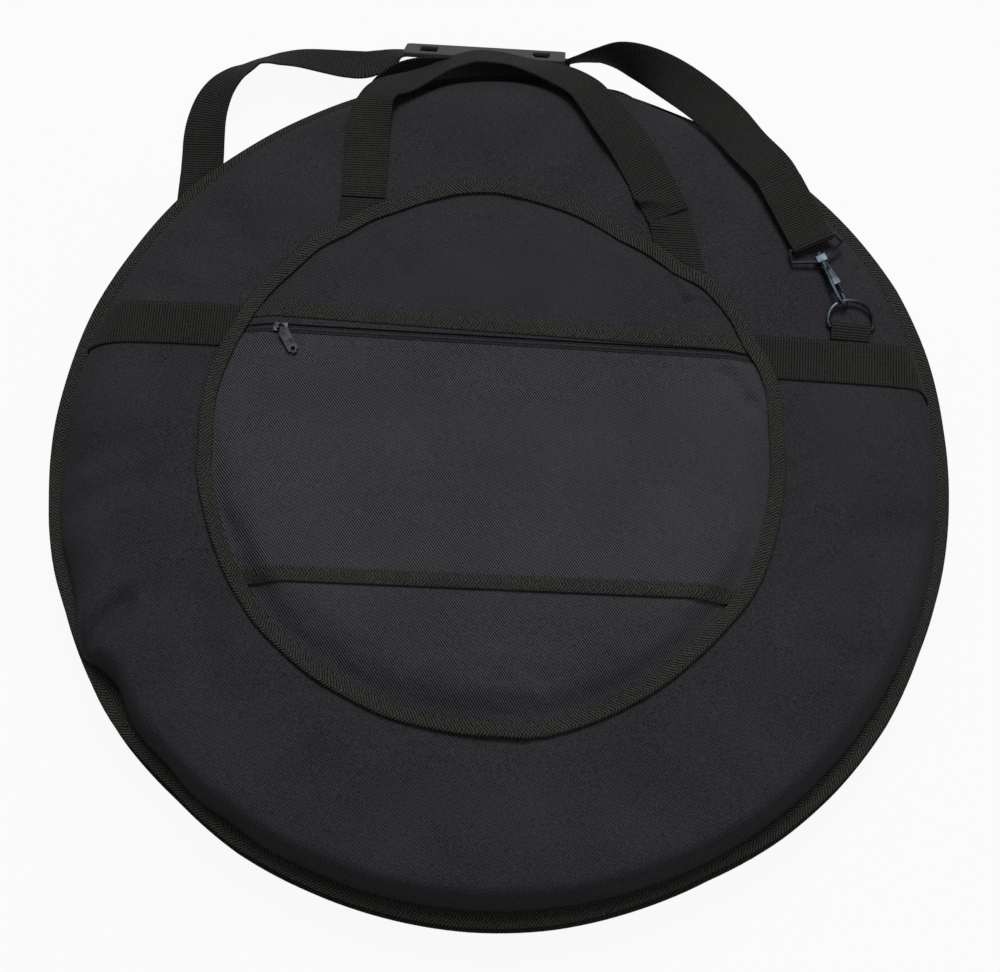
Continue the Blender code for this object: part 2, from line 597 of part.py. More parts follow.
def make_pocket_panels():
    middle = (POCKET_X, POCKET_Y)
    slot_low = POCKET_ZIP_Y - POCKET_ZIP_SLOT / 2
    slot_high = POCKET_ZIP_Y + POCKET_ZIP_SLOT / 2
    panels = (("pocket_upper_panel", ((slot_high, 0.0, -1),)),
              ("pocket_middle_panel", ((slot_low, 0.0, 1), (STRIP_Y + GAP / 2, STRIP_TURN, -1))),
              ("pocket_lower_panel", ((STRIP_Y - GAP / 2, STRIP_TURN, 1),)))
    for name, cuts in panels:
        panel = turned(name, pocket_profile(), "cloth", steps=POCKET_STEPS, middle=middle)
        for y, turn, side in cuts:
            boolean(panel, slab_cutter(y, turn, side, FOLD_OVERRUN * 2))


def make_pocket_tape():
    section = ring_section(POCKET_TAPE_INNER, POCKET_RADIUS, TOP_HEIGHT + GAP,
                           TOP_HEIGHT + GAP + BINDING_THICK)
    ring = turned("pocket_binding", section, "tape", steps=POCKET_STEPS, closed=True,
                  middle=(POCKET_X, POCKET_Y))
    # The end of the tape laps over its start.
    half_arc = math.degrees(POCKET_JOIN_LENGTH / POCKET_RADIUS) / 2
    high = TOP_HEIGHT + GAP + BINDING_THICK
    lap = ((POCKET_TAPE_INNER + GAP, high - GAP), (POCKET_RADIUS + GAP, high - GAP),
           (POCKET_RADIUS + GAP, high + 2 * GAP), (POCKET_TAPE_INNER + GAP, high + 2 * GAP))
    piece = turned("lap", lap, "tape", POCKET_JOIN_ANGLE - half_arc, POCKET_JOIN_ANGLE + half_arc, 3, True,
                   (POCKET_X, POCKET_Y), CUTTERS)
    boolean(ring, piece, "UNION")


def make_pocket_strips():
    thick = POCKET_CLOTH * 0.8
    lift = 2 * GAP + thick / 2
    reach = POCKET_TAPE_INNER - 4 * GAP
    pocket_sheet("pocket_zip_facing", FACING_Y, FACING_WIDTH, FACING_TURN, thick, lift, "tape", reach)
    pocket_sheet("pocket_strip", STRIP_Y, STRIP_WIDTH, STRIP_TURN, thick, lift, "tape", reach)


def make_pocket_zip():
    # The tape lies under the cloth on each side of the slot, the coil fills the slot.
    reach = POCKET_TAPE_INNER * POCKET_OUTLINE_SHARES[2][0]
    tape_thick = POCKET_CLOTH * 0.6
    tape_top = POCKET_CLOTH + 2 * GAP
    tape = pocket_sheet("pocket_zip_tape", POCKET_ZIP_Y, POCKET_ZIP_TAPE, 0.0, tape_thick,
                        -tape_top - tape_thick / 2, "coil", reach)
    coil_thick = tape_top - 2 * GAP
    coil = pocket_sheet("pocket_zip_coil", POCKET_ZIP_Y, POCKET_COIL_WIDTH, 0.0, coil_thick,
                        -GAP - coil_thick / 2, "coil", reach)
    # Room round the slider's wedge, at the shut end of the zip.
    wedge_x = POCKET_SLIDER_X - POCKET_SLIDER_LENGTH / 2 + WEDGE_HEIGHT / 2
    room = WEDGE_HEIGHT + 6 * GAP
    for piece in (tape, coil):
        boolean(piece, box_cutter((room, room, POCKET_RISE * 2), (wedge_x, POCKET_ZIP_Y, TOP_HEIGHT + POCKET_RISE)))


def make_pocket_slider():
    length = POCKET_SLIDER_LENGTH
    width = POCKET_ZIP_SLOT - 2 * GAP
    x = POCKET_SLIDER_X
    top_low = TOP_HEIGHT + POCKET_RISE + GAP
    plate = box_mesh((length, width, SLIDER_PLATE), (x, POCKET_ZIP_Y, top_low + SLIDER_PLATE / 2))
    slider = finish_mesh("pocket_slider", plate, "metal")
    under_high = top_low - POCKET_CLOTH * 1.6 - 10 * GAP
    under = box_cutter((length, width, SLIDER_PLATE), (x, POCKET_ZIP_Y, under_high - SLIDER_PLATE / 2))
    boolean(slider, under, "UNION")
    wedge = box_cutter((WEDGE_HEIGHT, WEDGE_HEIGHT, top_low - under_high + SLIDER_PLATE),
                       (x - length / 2 + WEDGE_HEIGHT / 2, POCKET_ZIP_Y, (top_low + under_high) / 2))
    boolean(slider, wedge, "UNION")
    face = Vector((x, POCKET_ZIP_Y, top_low + SLIDER_PLATE))
    turn = Matrix.Rotation(math.radians(POCKET_PULL_ANGLE), 3, "Z")
    up = Vector((0.0, 0.0, 1.0))
    hinge = add_lugs(slider, face, turn @ Vector((1.0, 0.0, 0.0)), up)
    set_origin(slider, face)
    lean = turn @ Matrix.Rotation(math.radians(POCKET_PULL_LEAN), 3, "Y")
    make_pull("pocket_pull", hinge, lean @ Vector((1.0, 0.0, 0.0)), lean @ up, POCKET_PULL_LENGTH)


# Webbing

def smooth_route(points, count):
    # A curve through every given row of numbers, read at even steps along its length.
    rows = np.array(points, dtype=float)
    padded = np.vstack([2 * rows[0] - rows[1], rows, 2 * rows[-1] - rows[-2]])
    fine = []
    for index in range(1, len(padded) - 2):
        p0, p1, p2, p3 = padded[index - 1:index + 3]
        for t in np.linspace(0.0, 1.0, 12, endpoint=False):
            fine.append(0.5 * (2 * p1 + (p2 - p0) * t + (2 * p0 - 5 * p1 + 4 * p2 - p3) * t ** 2
                               + (3 * p1 - p0 - 3 * p2 + p3) * t ** 3))
    fine.append(rows[-1])
    fine = np.array(fine)
    run = np.concatenate([[0.0], np.cumsum(np.linalg.norm(np.diff(fine[:, :3], axis=0), axis=1))])
    wanted = np.linspace(0.0, run[-1], count)
    return np.stack([np.interp(wanted, run, fine[:, column]) for column in range(rows.shape[1])], axis=1)


def grid_sheet(name, places, thickness, kind, collection=None):
    # places[i][j] is where each grid point lies: a flat grid is moved there, then thickened.
    rows, columns = len(places), len(places[0])
    bm = bmesh.new()
    bmesh.ops.create_grid(bm, x_segments=rows - 1, y_segments=columns - 1, size=0.5)
    for vertex in bm.verts:
        i = round((vertex.co.x + 0.5) * (rows - 1))
        j = round((vertex.co.y + 0.5) * (columns - 1))
        vertex.co = Vector(places[i][j])
    sheet = finish_mesh(name, bm, kind, collection)
    solid = sheet.modifiers.new("thickness", "SOLIDIFY")
    solid.thickness = thickness
    solid.offset = 0.0
    solid.use_even_offset = True
    baked(sheet)
    bm = bmesh.new()
    bm.from_mesh(sheet.data)
    bmesh.ops.recalc_face_normals(bm, faces=bm.faces)
    bm.to_mesh(sheet.data)
    bm.free()
    return sheet


def webbing(name, route, count=0, width=WEB_WIDTH):
    # Each row of the route is a place and the direction of the strap's inner face there.
    # A count of rows smooths the route, without one its rows are used as they are.
    rows = smooth_route(route, count) if count else np.array(route, dtype=float)
    places = []
    for index, row in enumerate(rows):
        after = rows[min(index + 1, len(rows) - 1), :3]
        before = rows[max(index - 1, 0), :3]
        if index == 0:
            before, after = route[0][:3], route[1][:3]
        if index == len(rows) - 1:
            before, after = route[-2][:3], route[-1][:3]
        tangent = (Vector(after) - Vector(before)).normalized()
        across = Vector(row[3:]).cross(tangent).normalized()
        middle = Vector(row[:3])
        places.append([middle + across * (share * width) for share in (-0.5, 0.0, 0.5)])
    return grid_sheet(name, places, WEB_THICK, "webbing")


def on_wall(outline, run, y, side, lift):
    # A point lift above a turned surface, run along its outline and y across it.
    points = np.array(outline)
    lengths = np.concatenate([[0.0], np.cumsum(np.linalg.norm(np.diff(points, axis=0), axis=1))])
    step = WEB_THICK
    ahead = [float(np.interp(run + step, lengths, points[:, column])) for column in (0, 1)]
    behind = [float(np.interp(run - step, lengths, points[:, column])) for column in (0, 1)]
    run_r, run_z = ahead[0] - behind[0], ahead[1] - behind[1]
    size = math.hypot(run_r, run_z)
    radius = float(np.interp(run, lengths, points[:, 0])) - run_z / size * lift
    height = float(np.interp(run, lengths, points[:, 1])) + run_r / size * lift
    return (side * math.sqrt(max(radius ** 2 - y ** 2, 0.0)), y, height)


def make_front_bands():
    outline = front_outline()
    points = np.array(outline)
    lengths = np.concatenate([[0.0], np.cumsum(np.linalg.norm(np.diff(points, axis=0), axis=1))])
    lift = WEB_THICK / 2 + 2 * GAP
    for name, side in (("front_band_left", -1), ("front_band_right", 1)):
        rows = []
        for y in (BAND_Y - WEB_WIDTH / 2, BAND_Y, BAND_Y + WEB_WIDTH / 2):
            start_x = pocket_half_chord(y, POCKET_RADIUS) + side * POCKET_X + 2 * GAP
            start = math.hypot(start_x, y)
            bends = [run for run in lengths[2:-1]]
            runs = [start, bends[0] if bends[0] > start else start + GAP] + bends[1:] + [lengths[-1] - GAP]
            rows.append([on_wall(outline, run, y, side, lift) for run in runs])
        grid_sheet(name, [list(row) for row in zip(*rows)], WEB_THICK, "webbing")


def back_sheet(name, xs, ys, thickness, lift, kind, collection=None):
    # A sheet pressed up into the underside of the back panel. lift is how far its middle is let in.
    outline = back_outline()
    places = [[(x, y, height_on(outline, math.hypot(x, y)) + lift) for y in ys] for x in xs]
    return grid_sheet(name, places, thickness, kind, collection)


def make_back_band(panel):
    outline = back_outline()
    heights = [point[1] for point in outline[1:]]
    radii = [point[0] for point in outline[1:]]
    end_radius = float(np.interp(BACK_RISE - WEB_THICK - 2 * GAP, heights, radii))
    half = WEB_WIDTH / 2
    reach = math.sqrt(end_radius ** 2 - (BAND_Y + half) ** 2)
    bends = [math.sqrt(radius ** 2 - BAND_Y ** 2) for radius in radii[:-1] if radius < end_radius]
    half_xs = [0.0] + [x for x in bends if x < reach - WEB_THICK] + [reach]
    for name, ys, lengthened, depth in (
            ("back_band", [BAND_Y - half, BAND_Y, BAND_Y + half], 0.0, WEB_THICK),
            ("groove", [BAND_Y - half - GAP, BAND_Y, BAND_Y + half + GAP], 2 * GAP, 2 * (WEB_THICK + GAP))):
        xs = [-x for x in reversed(half_xs[1:])] + half_xs
        xs[0] -= lengthened
        xs[-1] += lengthened
        if name == "groove":
            boolean(panel, back_sheet(name, xs, ys, depth, 0.0, "webbing", CUTTERS))
        else:
            back_sheet(name, xs, ys, depth, depth / 2, "webbing")


def make_back_handle_ends(panel):
    low = BACK_HANDLE_HINGE_Y - BACK_END_LENGTH
    half = WEB_WIDTH / 2
    for name, side in (("back_handle_end_left", -1), ("back_handle_end_right", 1)):
        middle = side * HANDLE_HALF_SPAN
        xs = [middle - half, middle, middle + half]
        ys = [low, (low + BACK_HANDLE_HINGE_Y) / 2, BACK_HANDLE_HINGE_Y - GAP]
        back_sheet(name, xs, ys, WEB_THICK, WEB_THICK / 2, "webbing")
        # The groove runs on to where the panel has risen clear of the handle.
        xs = [middle - half - GAP, middle, middle + half + GAP]
        steps = 9
        end = BACK_HANDLE_HINGE_Y + BACK_END_LENGTH * 0.8
        ys = [low - GAP + (end - low) * step / (steps - 1) for step in range(steps)]
        boolean(panel, back_sheet("groove", xs, ys, (WEB_THICK + 2 * GAP) * 2, 0.0, "webbing", CUTTERS))


def front_web_height():
    return TOP_HEIGHT + GAP + WEB_THICK / 2


def make_front_handle_ends():
    y_high = HANDLE_HINGE_Y - GAP
    inner_x = HANDLE_HALF_SPAN - WEB_WIDTH / 2 - abs(POCKET_X)
    y_low = POCKET_Y + math.sqrt((POCKET_RADIUS + GAP) ** 2 - inner_x ** 2) + GAP
    for name, side in (("front_handle_end_left", -1), ("front_handle_end_right", 1)):
        bm = box_mesh((WEB_WIDTH, y_high - y_low, WEB_THICK),
                      (side * HANDLE_HALF_SPAN, (y_low + y_high) / 2, front_web_height()))
        finish_mesh(name, bm, "webbing")


def loop_route(shares, hinge_y, hinge_z, reach, rise):
    return [(x * HANDLE_HALF_SPAN, hinge_y + GAP + y * reach, hinge_z + z * rise, *inner)
            for x, y, z, *inner in shares]


def make_front_handle():
    z = front_web_height()
    handle = webbing("front_handle", loop_route(FRONT_HANDLE_SHARES, HANDLE_HINGE_Y, z, HANDLE_REACH, -HANDLE_DROP), 40)
    # It folds back over its stitched ends, so its axis lies just above them.
    set_origin(handle, (0.0, HANDLE_HINGE_Y, z + WEB_THICK / 2 + GAP))


def make_back_handle():
    # The web's flat start clears the panel above it along its inner side, where the panel is lowest.
    inner_x = HANDLE_HALF_SPAN - WEB_WIDTH / 2
    z = height_on(back_outline(), math.hypot(inner_x, BACK_HANDLE_HINGE_Y)) + WEB_THICK / 2
    route = loop_route(BACK_HANDLE_SHARES, BACK_HANDLE_HINGE_Y, z, BACK_HANDLE_REACH, BACK_HANDLE_RISE - z)
    handle = webbing("back_handle", route, 48)
    set_origin(handle, (0.0, BACK_HANDLE_HINGE_Y, z - WEB_THICK / 2 - GAP))


# Rings and snap hooks

def tube(name, points, radius, kind, cyclic=False, collection=None, resolution=2):
    curve = bpy.data.curves.new(name, "CURVE")
    curve.dimensions = "3D"
    curve.bevel_depth = radius
    curve.bevel_resolution = resolution
    curve.use_fill_caps = True
    spline = curve.splines.new("POLY")
    spline.points.add(len(points) - 1)
    for point, place in zip(spline.points, points):
        point.co = (*place, 1.0)
    spline.use_cyclic_u = cyclic
    item = bpy.data.objects.new(name, curve)
    PARTS.objects.link(item)
    bpy.context.view_layer.update()
    graph = bpy.context.evaluated_depsgraph_get()
    mesh = bpy.data.meshes.new_from_object(item.evaluated_get(graph))
    bpy.data.objects.remove(item, do_unlink=True)
    bm = bmesh.new()
    bm.from_mesh(mesh)
    bmesh.ops.remove_doubles(bm, verts=bm.verts, dist=MERGE)
    return finish_mesh(name, bm, kind, collection)


def frame_at(place, angle, roll=0.0):
    # Local X runs from the ring towards the strap, Z away from the bag's face.
    turn = Matrix.Rotation(math.radians(angle), 4, "Z") @ Matrix.Rotation(math.radians(roll), 4, "X")
    return Matrix.Translation(place) @ turn


def ring_points(crown_lift):
    # A flat D about the middle of its bar: the straight bar, two short sides and a half ellipse.
    side = RING_HALF_WIDTH
    rise = RING_CROWN - side * 0.85
    points = [(side - RING_WIRE, 0.0), (side, rise * 0.4)]
    for step in range(15):
        angle = math.pi * step / 14
        points.append((side * math.cos(angle), rise + side * 0.85 * math.sin(angle)))
    points += [(-side, rise * 0.4), (-side + RING_WIRE, 0.0)]
    return [(x, y, crown_lift / RING_CROWN * y) for x, y in points]


def ring_frame(side, outline, outward, bar_depth):
    # The bar lies along the slope of the panel under the tab. side is that of the bag in x.
    y = (BAND_Y + WEB_WIDTH / 2 + RING_BAR_Y) / 2
    inner = height_on(outline, math.hypot(TAB_X - TAB_WIDTH / 2, y))
    outer = height_on(outline, math.hypot(TAB_X + TAB_WIDTH / 2, y))
    middle = height_on(outline, math.hypot(TAB_X, y))
    face = max(middle, (inner + outer) / 2) if outward > 0 else min(middle, (inner + outer) / 2)
    lean = math.atan2(side * (inner - outer), TAB_WIDTH)
    turn = Matrix.Rotation(lean, 4, "Y")
    return Matrix.Translation((side * TAB_X, RING_BAR_Y, face + outward * bar_depth)) @ turn


def make_tab_and_ring(prefix, frame, outward, bar_depth, crown_lift):
    # outward is +1 where the front of the bag faces up, -1 under the back.
    ring = tube(prefix + "_d_ring", ring_points(crown_lift), RING_WIRE, "metal", True)
    ring.data.transform(frame)
    set_origin(ring, frame.translation)
    wrap = RING_WIRE + GAP + WEB_THICK / 2
    layer = (WEB_THICK + GAP) / 2
    foot = BAND_Y + WEB_WIDTH / 2 + 2 * GAP - RING_BAR_Y
    sole = -outward * (bar_depth - 2 * GAP - WEB_THICK / 2)
    rows = [(foot, sole + outward * 2 * layer), (foot * 0.62, sole + outward * 2 * layer * 1.1)]
    route = [(0.0, y, z, 0.0, 0.0, -outward) for y, z in rows]
    for step in range(9):
        angle = math.pi / 2 - math.pi * step / 8
        y, z = math.cos(angle), outward * math.sin(angle)
        route.append((0.0, wrap * y, wrap * z, 0.0, -y, -z))
    route += [(0.0, foot * 0.62, sole, 0.0, 0.0, outward), (0.0, foot, sole, 0.0, 0.0, outward)]
    turn = frame.to_3x3()
    placed = [(*(frame @ Vector(row[:3])), *(turn @ Vector(row[3:]))) for row in route]
    return webbing(prefix + "_ring_tab", placed, 0, TAB_WIDTH)


def make_hook(prefix, hold, angle, swivel_roll, outward):
    # hold is the point of the ring that the hook's bend goes round.
    turn = Matrix.Rotation(math.radians(angle), 3, "Z")
    along = turn @ Vector((1.0, 0.0, 0.0))
    bend_inside = RING_WIRE + GAP + HOOK_WIRE
    swivel = Vector(hold) + along * (HOOK_LENGTH - bend_inside)
    tilted = frame_at(swivel, angle, swivel_roll)
    flat = frame_at(swivel, angle)
    end = -HOOK_LENGTH + HOOK_HALF_WIDTH
    barrel = SWIVEL_RADIUS * 2.2
    wire = []
    for step in range(5):
        share = step / 4
        wire.append((-barrel + HOOK_WIRE + (end + barrel - HOOK_WIRE) * share,
                     HOOK_HALF_WIDTH * (0.42 + 0.58 * min(share * 1.6, 1.0)), 0.0))
    for step in range(1, 9):
        bend = math.pi / 2 + math.pi * step / 8
        wire.append((end + HOOK_HALF_WIDTH * math.cos(bend), HOOK_HALF_WIDTH * math.sin(bend), 0.0))
    wire.append((end + HOOK_HALF_WIDTH * 0.9, -HOOK_HALF_WIDTH, 0.0))
    body = tube(prefix + "_hook", wire, HOOK_WIRE, "metal")
    core = rod_mesh(SWIVEL_RADIUS, (-barrel, 0.0, 0.0), (-GAP * 3, 0.0, 0.0), 14)
    boolean(body, finish_mesh("barrel", core, "metal", CUTTERS), "UNION")
    post_end = SWIVEL_RADIUS * 2.0
    post = rod_mesh(SWIVEL_POST, (-SWIVEL_RADIUS, 0.0, 0.0), (post_end, 0.0, 0.0), 12)
    boolean(body, finish_mesh("post", post, "metal", CUTTERS), "UNION")
    head = rod_mesh(SWIVEL_POST * 1.8, (post_end - GAP, 0.0, 0.0), (post_end + SWIVEL_POST, 0.0, 0.0), 12)
    boolean(body, finish_mesh("head", head, "metal", CUTTERS), "UNION")
    # Two cheeks on the barrel carry the pin of the gate.
    nose_x = end + HOOK_HALF_WIDTH * 0.9
    root_x = -barrel - GAP * 2
    gate_y = -HOOK_HALF_WIDTH + HOOK_WIRE * 0.2
    gate_half = HOOK_WIRE * 1.2
    cheek_z = gate_half + GAP + CHEEK_THICK / 2
    reach = Vector((SWIVEL_RADIUS, -gate_y - SWIVEL_RADIUS / 2, 0.0))
    slope = Matrix.Rotation(math.atan2(reach.y, reach.x), 3, "Z")
    for side in (-1, 1):
        low = side * cheek_z - CHEEK_THICK / 2
        middle = (root_x + reach.x / 2, gate_y + reach.y / 2, side * cheek_z)
        arm = box_cutter((reach.length, GATE_EYE * 1.6, CHEEK_THICK * 0.6), middle, slope)
        boolean(body, arm, "UNION")
        disc = rod_mesh(GATE_EYE, (root_x, gate_y, low), (root_x, gate_y, low + CHEEK_THICK), 14)
        boolean(body, finish_mesh("cheek", disc, "metal", CUTTERS), "UNION")
    pin_end = cheek_z + CHEEK_THICK * 0.8
    pin = rod_mesh(GATE_PIN, (root_x, gate_y, -pin_end), (root_x, gate_y, pin_end), 12)
    boolean(body, finish_mesh("gate_pin", pin, "metal", CUTTERS), "UNION")
    body.data.transform(tilted)
    set_origin(body, swivel)
    # The sprung gate closes the open side of the bend from the inside.
    span = root_x - GATE_EYE * 0.8 - nose_x - GAP
    plate = box_mesh((span, GATE_THICK, gate_half * 2), (nose_x + GAP + span / 2, gate_y, 0.0))
    gate = finish_mesh(prefix + "_hook_gate", plate, "metal")
    bevel = gate.modifiers.new("soft_edge", "BEVEL")
    bevel.width = GATE_THICK / 4
    bevel.segments = 1
    baked(gate)
    ends = [(root_x, gate_y, -gate_half), (root_x, gate_y, gate_half)]
    boolean(gate, finish_mesh("gate_eye", rod_mesh(GATE_EYE, *ends, 14), "metal", CUTTERS), "UNION")
    past = [(root_x, gate_y, -pin_end), (root_x, gate_y, pin_end)]
    boolean(gate, finish_mesh("gate_bore", rod_mesh(GATE_PIN + GAP, *past, 12), "metal", CUTTERS))
    gate.data.transform(tilted)
    set_origin(gate, tilted @ Vector((root_x, gate_y, 0.0)))
    # The five-sided wire loop turns on the swivel post.
    eye_half = SWIVEL_RADIUS * 0.62
    loop = [(eye_half, SWIVEL_RADIUS * 1.1, 0.0), (LOOP_SHOULDER, LOOP_SHOULDER_HALF, 0.0),
            (LOOP_BAR, LOOP_BAR_HALF, 0.0), (LOOP_BAR, -LOOP_BAR_HALF, 0.0),
            (LOOP_SHOULDER, -LOOP_SHOULDER_HALF, 0.0), (eye_half, -SWIVEL_RADIUS * 1.1, 0.0)]
    frame = tube(prefix + "_hook_loop", loop, LOOP_WIRE, "metal", True)
    eye = box_cutter((SWIVEL_RADIUS * 1.7, SWIVEL_RADIUS * 2.4, SWIVEL_RADIUS * 1.7), (SWIVEL_RADIUS * 0.85, 0.0, 0.0))
    boolean(frame, eye, "UNION")
    bore = rod_mesh(SWIVEL_POST + GAP, (-SWIVEL_RADIUS, 0.0, 0.0), (SWIVEL_RADIUS * 3, 0.0, 0.0), 12)
    boolean(frame, finish_mesh("bore", bore, "metal", CUTTERS))
    frame.data.transform(flat)
    set_origin(frame, swivel)
    # The strap's doubled end wraps the loop's bar.
    wrap = LOOP_WIRE + GAP + WEB_THICK / 2
    layer = (WEB_THICK + GAP) / 2
    rows = [(LOOP_BAR + STRAP_FOLD, layer), (LOOP_BAR + STRAP_FOLD / 2, layer), (LOOP_BAR + wrap * 3, layer * 1.1)]
    route = [(x, 0.0, outward * z, 0.0, 0.0, -outward) for x, z in rows]
    for step in range(9):
        bend = math.pi / 2 + math.pi * step / 8
        side = Vector((math.cos(bend), 0.0, outward * math.sin(bend)))
        route.append((LOOP_BAR + wrap * side.x, 0.0, wrap * side.z, -side.x, 0.0, -side.z))
    route += [(x, 0.0, -outward * z, 0.0, 0.0, outward) for x, z in reversed(rows)]
    placed = []
    for row in route:
        place = flat @ Vector(row[:3])
        inner = turn @ Vector(row[3:])
        placed.append((*place, *inner))
    webbing(prefix + "_strap_end", placed)
    return flat


def ring_hold(frame, crown_lift, share):
    # A point on the crown, share of a quarter turn to the left of its top.
    side = RING_HALF_WIDTH
    rise = RING_CROWN - side * 0.85
    angle = math.pi / 2 + share * math.pi / 2
    y = rise + side * 0.85 * math.sin(angle)
    return frame @ Vector((side * math.cos(angle), y, crown_lift / RING_CROWN * y))


def make_front_hardware():
    bar_depth = 2 * GAP + WEB_THICK + RING_WIRE
    frame = ring_frame(1, front_outline(), 1, bar_depth)
    make_tab_and_ring("front", frame, 1, bar_depth, RING_WIRE * 1.8)
    return make_hook("front", ring_hold(frame, RING_WIRE * 1.8, 0.24), HOOK_ANGLE, FRONT_HOOK_TILT, 1)


def make_back_hardware():
    bar_depth = 2 * GAP + WEB_THICK + RING_WIRE
    frame = ring_frame(-1, back_outline(), -1, bar_depth)
    crown_height = HOOK_HALF_WIDTH * math.sin(math.radians(abs(BACK_HOOK_TILT))) + HOOK_WIRE + 2 * GAP
    crown_lift = crown_height - frame.translation.z
    make_tab_and_ring("back", frame, -1, bar_depth, crown_lift)
    return make_hook("back", ring_hold(frame, crown_lift, 0.0), BACK_HOOK_ANGLE, BACK_HOOK_TILT, -1)


# Shoulder strap and pad

def pad_frame():
    # Local X along the strap, Y down the pad's slope to the ground, Z out of its upper face.
    tilt = math.radians(PAD_TILT)
    down = Vector((0.0, math.cos(tilt), -math.sin(tilt)))
    out = Vector((0.0, math.sin(tilt), math.cos(tilt)))
    near_y = BACK_BINDING_OUTER + PAD_CLEARANCE
    place = (PAD_X, near_y + down.y * PAD_WIDTH / 2, -down.z * PAD_WIDTH / 2 + 2 * GAP)
    return Matrix.Translation(place) @ Matrix((Vector((1.0, 0.0, 0.0)), down, out)).transposed().to_4x4()


def make_pad():
    frame = pad_frame()
    plate = finish_mesh("shoulder_pad", box_mesh((PAD_LENGTH, PAD_WIDTH, PAD_THICK), (0.0, 0.0, PAD_THICK / 2)), "pad")
    bevel = plate.modifiers.new("round", "BEVEL")
    bevel.width = PAD_THICK * 0.3
    bevel.segments = 2
    baked(plate)
    under = -(2 * GAP + WEB_THICK + GAP)
    bar = PAD_THICK * 0.5
    opening = WEB_WIDTH + 6 * GAP
    post_width = 4 * GAP
    for side in (-1, 1):
        x = side * (PAD_LENGTH / 2 - PAD_WINDOW_INSET - PAD_WINDOW / 2)
        boolean(plate, box_cutter((PAD_WINDOW, opening, PAD_THICK * 3), (x, 0.0, PAD_THICK / 2)))
        # A bridge behind each window holds the webbing against the pad.
        bridge_length = PAD_WINDOW * 0.8
        bridge = box_cutter((bridge_length, opening + 2 * post_width, bar), (x, 0.0, under - bar / 2))
        boolean(plate, bridge, "UNION")
        for edge in (-1, 1):
            post_low = under - bar / 2
            post_high = PAD_THICK / 2
            post = box_cutter((bridge_length, post_width, post_high - post_low),
                              (x, edge * (opening + post_width) / 2, (post_high + post_low) / 2))
            boolean(plate, post, "UNION")
    plate.data.transform(frame)
    set_origin(plate, frame.translation)
    return frame


def strap_route(shares):
    return [(x * FRONT_BINDING_OUTER, y * FRONT_BINDING_OUTER, z * TOP_HEIGHT, *inner) for x, y, z, *inner in shares]


def make_strap(pad, front_flat, back_flat):
    # The strap lies under the pad, between it and the bridges.
    level = -(GAP + WEB_THICK / 2)
    out = pad.to_3x3() @ Vector((0.0, 0.0, 1.0))
    pad_end = PAD_LENGTH / 2 + PAD_END_OVERHANG
    start_x = LOOP_BAR + STRAP_FOLD + 2 * GAP
    down = (0.0, 0.0, -1.0)
    route = [(*(front_flat @ Vector((start_x, 0.0, 0.0))), *down),
             (*(front_flat @ Vector((start_x + WEB_WIDTH * 0.6, 0.0, 0.0))), *down)]
    route += strap_route(RIGHT_STRAP_SHARES)
    route += [(*(pad @ Vector((pad_end + along, 0.0, level))), *out) for along in (PAD_END_OVERHANG, 4 * GAP)]
    webbing("strap_right", route, 30)
    up = (0.0, 0.0, 1.0)
    route = [(*(pad @ Vector((x, 0.0, level))), *out)
             for x in (pad_end, PAD_LENGTH / 4, -PAD_LENGTH / 4, -pad_end, -pad_end - PAD_END_OVERHANG)]
    route += strap_route(LEFT_STRAP_SHARES)
    route += [(*(back_flat @ Vector((start_x + WEB_WIDTH * 0.5, 0.0, 0.0))), *up),
              (*(back_flat @ Vector((start_x, 0.0, 0.0))), *up)]
    webbing("strap_left", route, 44)


def build():
    panel = make_back_panel()
    make_bottom_gusset()
    make_linings()
    make_front_panels()
    make_bindings()
    make_zip_tapes()
    make_main_slider("a", 1)
    make_main_slider("b", -1)
    make_pocket_tape()
    make_pocket_panels()
    make_pocket_strips()
    make_pocket_zip()
    make_pocket_slider()
    make_front_bands()
    make_back_band(panel)
    make_back_handle_ends(panel)
    make_front_handle_ends()
    make_front_handle()
    make_back_handle()
    front_flat = make_front_hardware()
    back_flat = make_back_hardware()
    frame = make_pad()
    make_strap(frame, front_flat, back_flat)
    centre_all()


def centre_all():
    # The origin goes under the middle of the whole outline.
    bpy.context.view_layer.update()
    corners = [item.matrix_world @ vertex.co for item in PARTS.objects for vertex in item.data.vertices]
    low = [min(corner[axis] for corner in corners) for axis in (0, 1, 2)]
    high = [max(corner[axis] for corner in corners) for axis in (0, 1, 2)]
    shift = Vector((-(low[0] + high[0]) / 2, -(low[1] + high[1]) / 2, -low[2]))
    for item in PARTS.objects:
        item.location += shift


build()
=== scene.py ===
import json
import math

import bpy
import numpy as np
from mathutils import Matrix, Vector
from mathutils.bvhtree import BVHTree


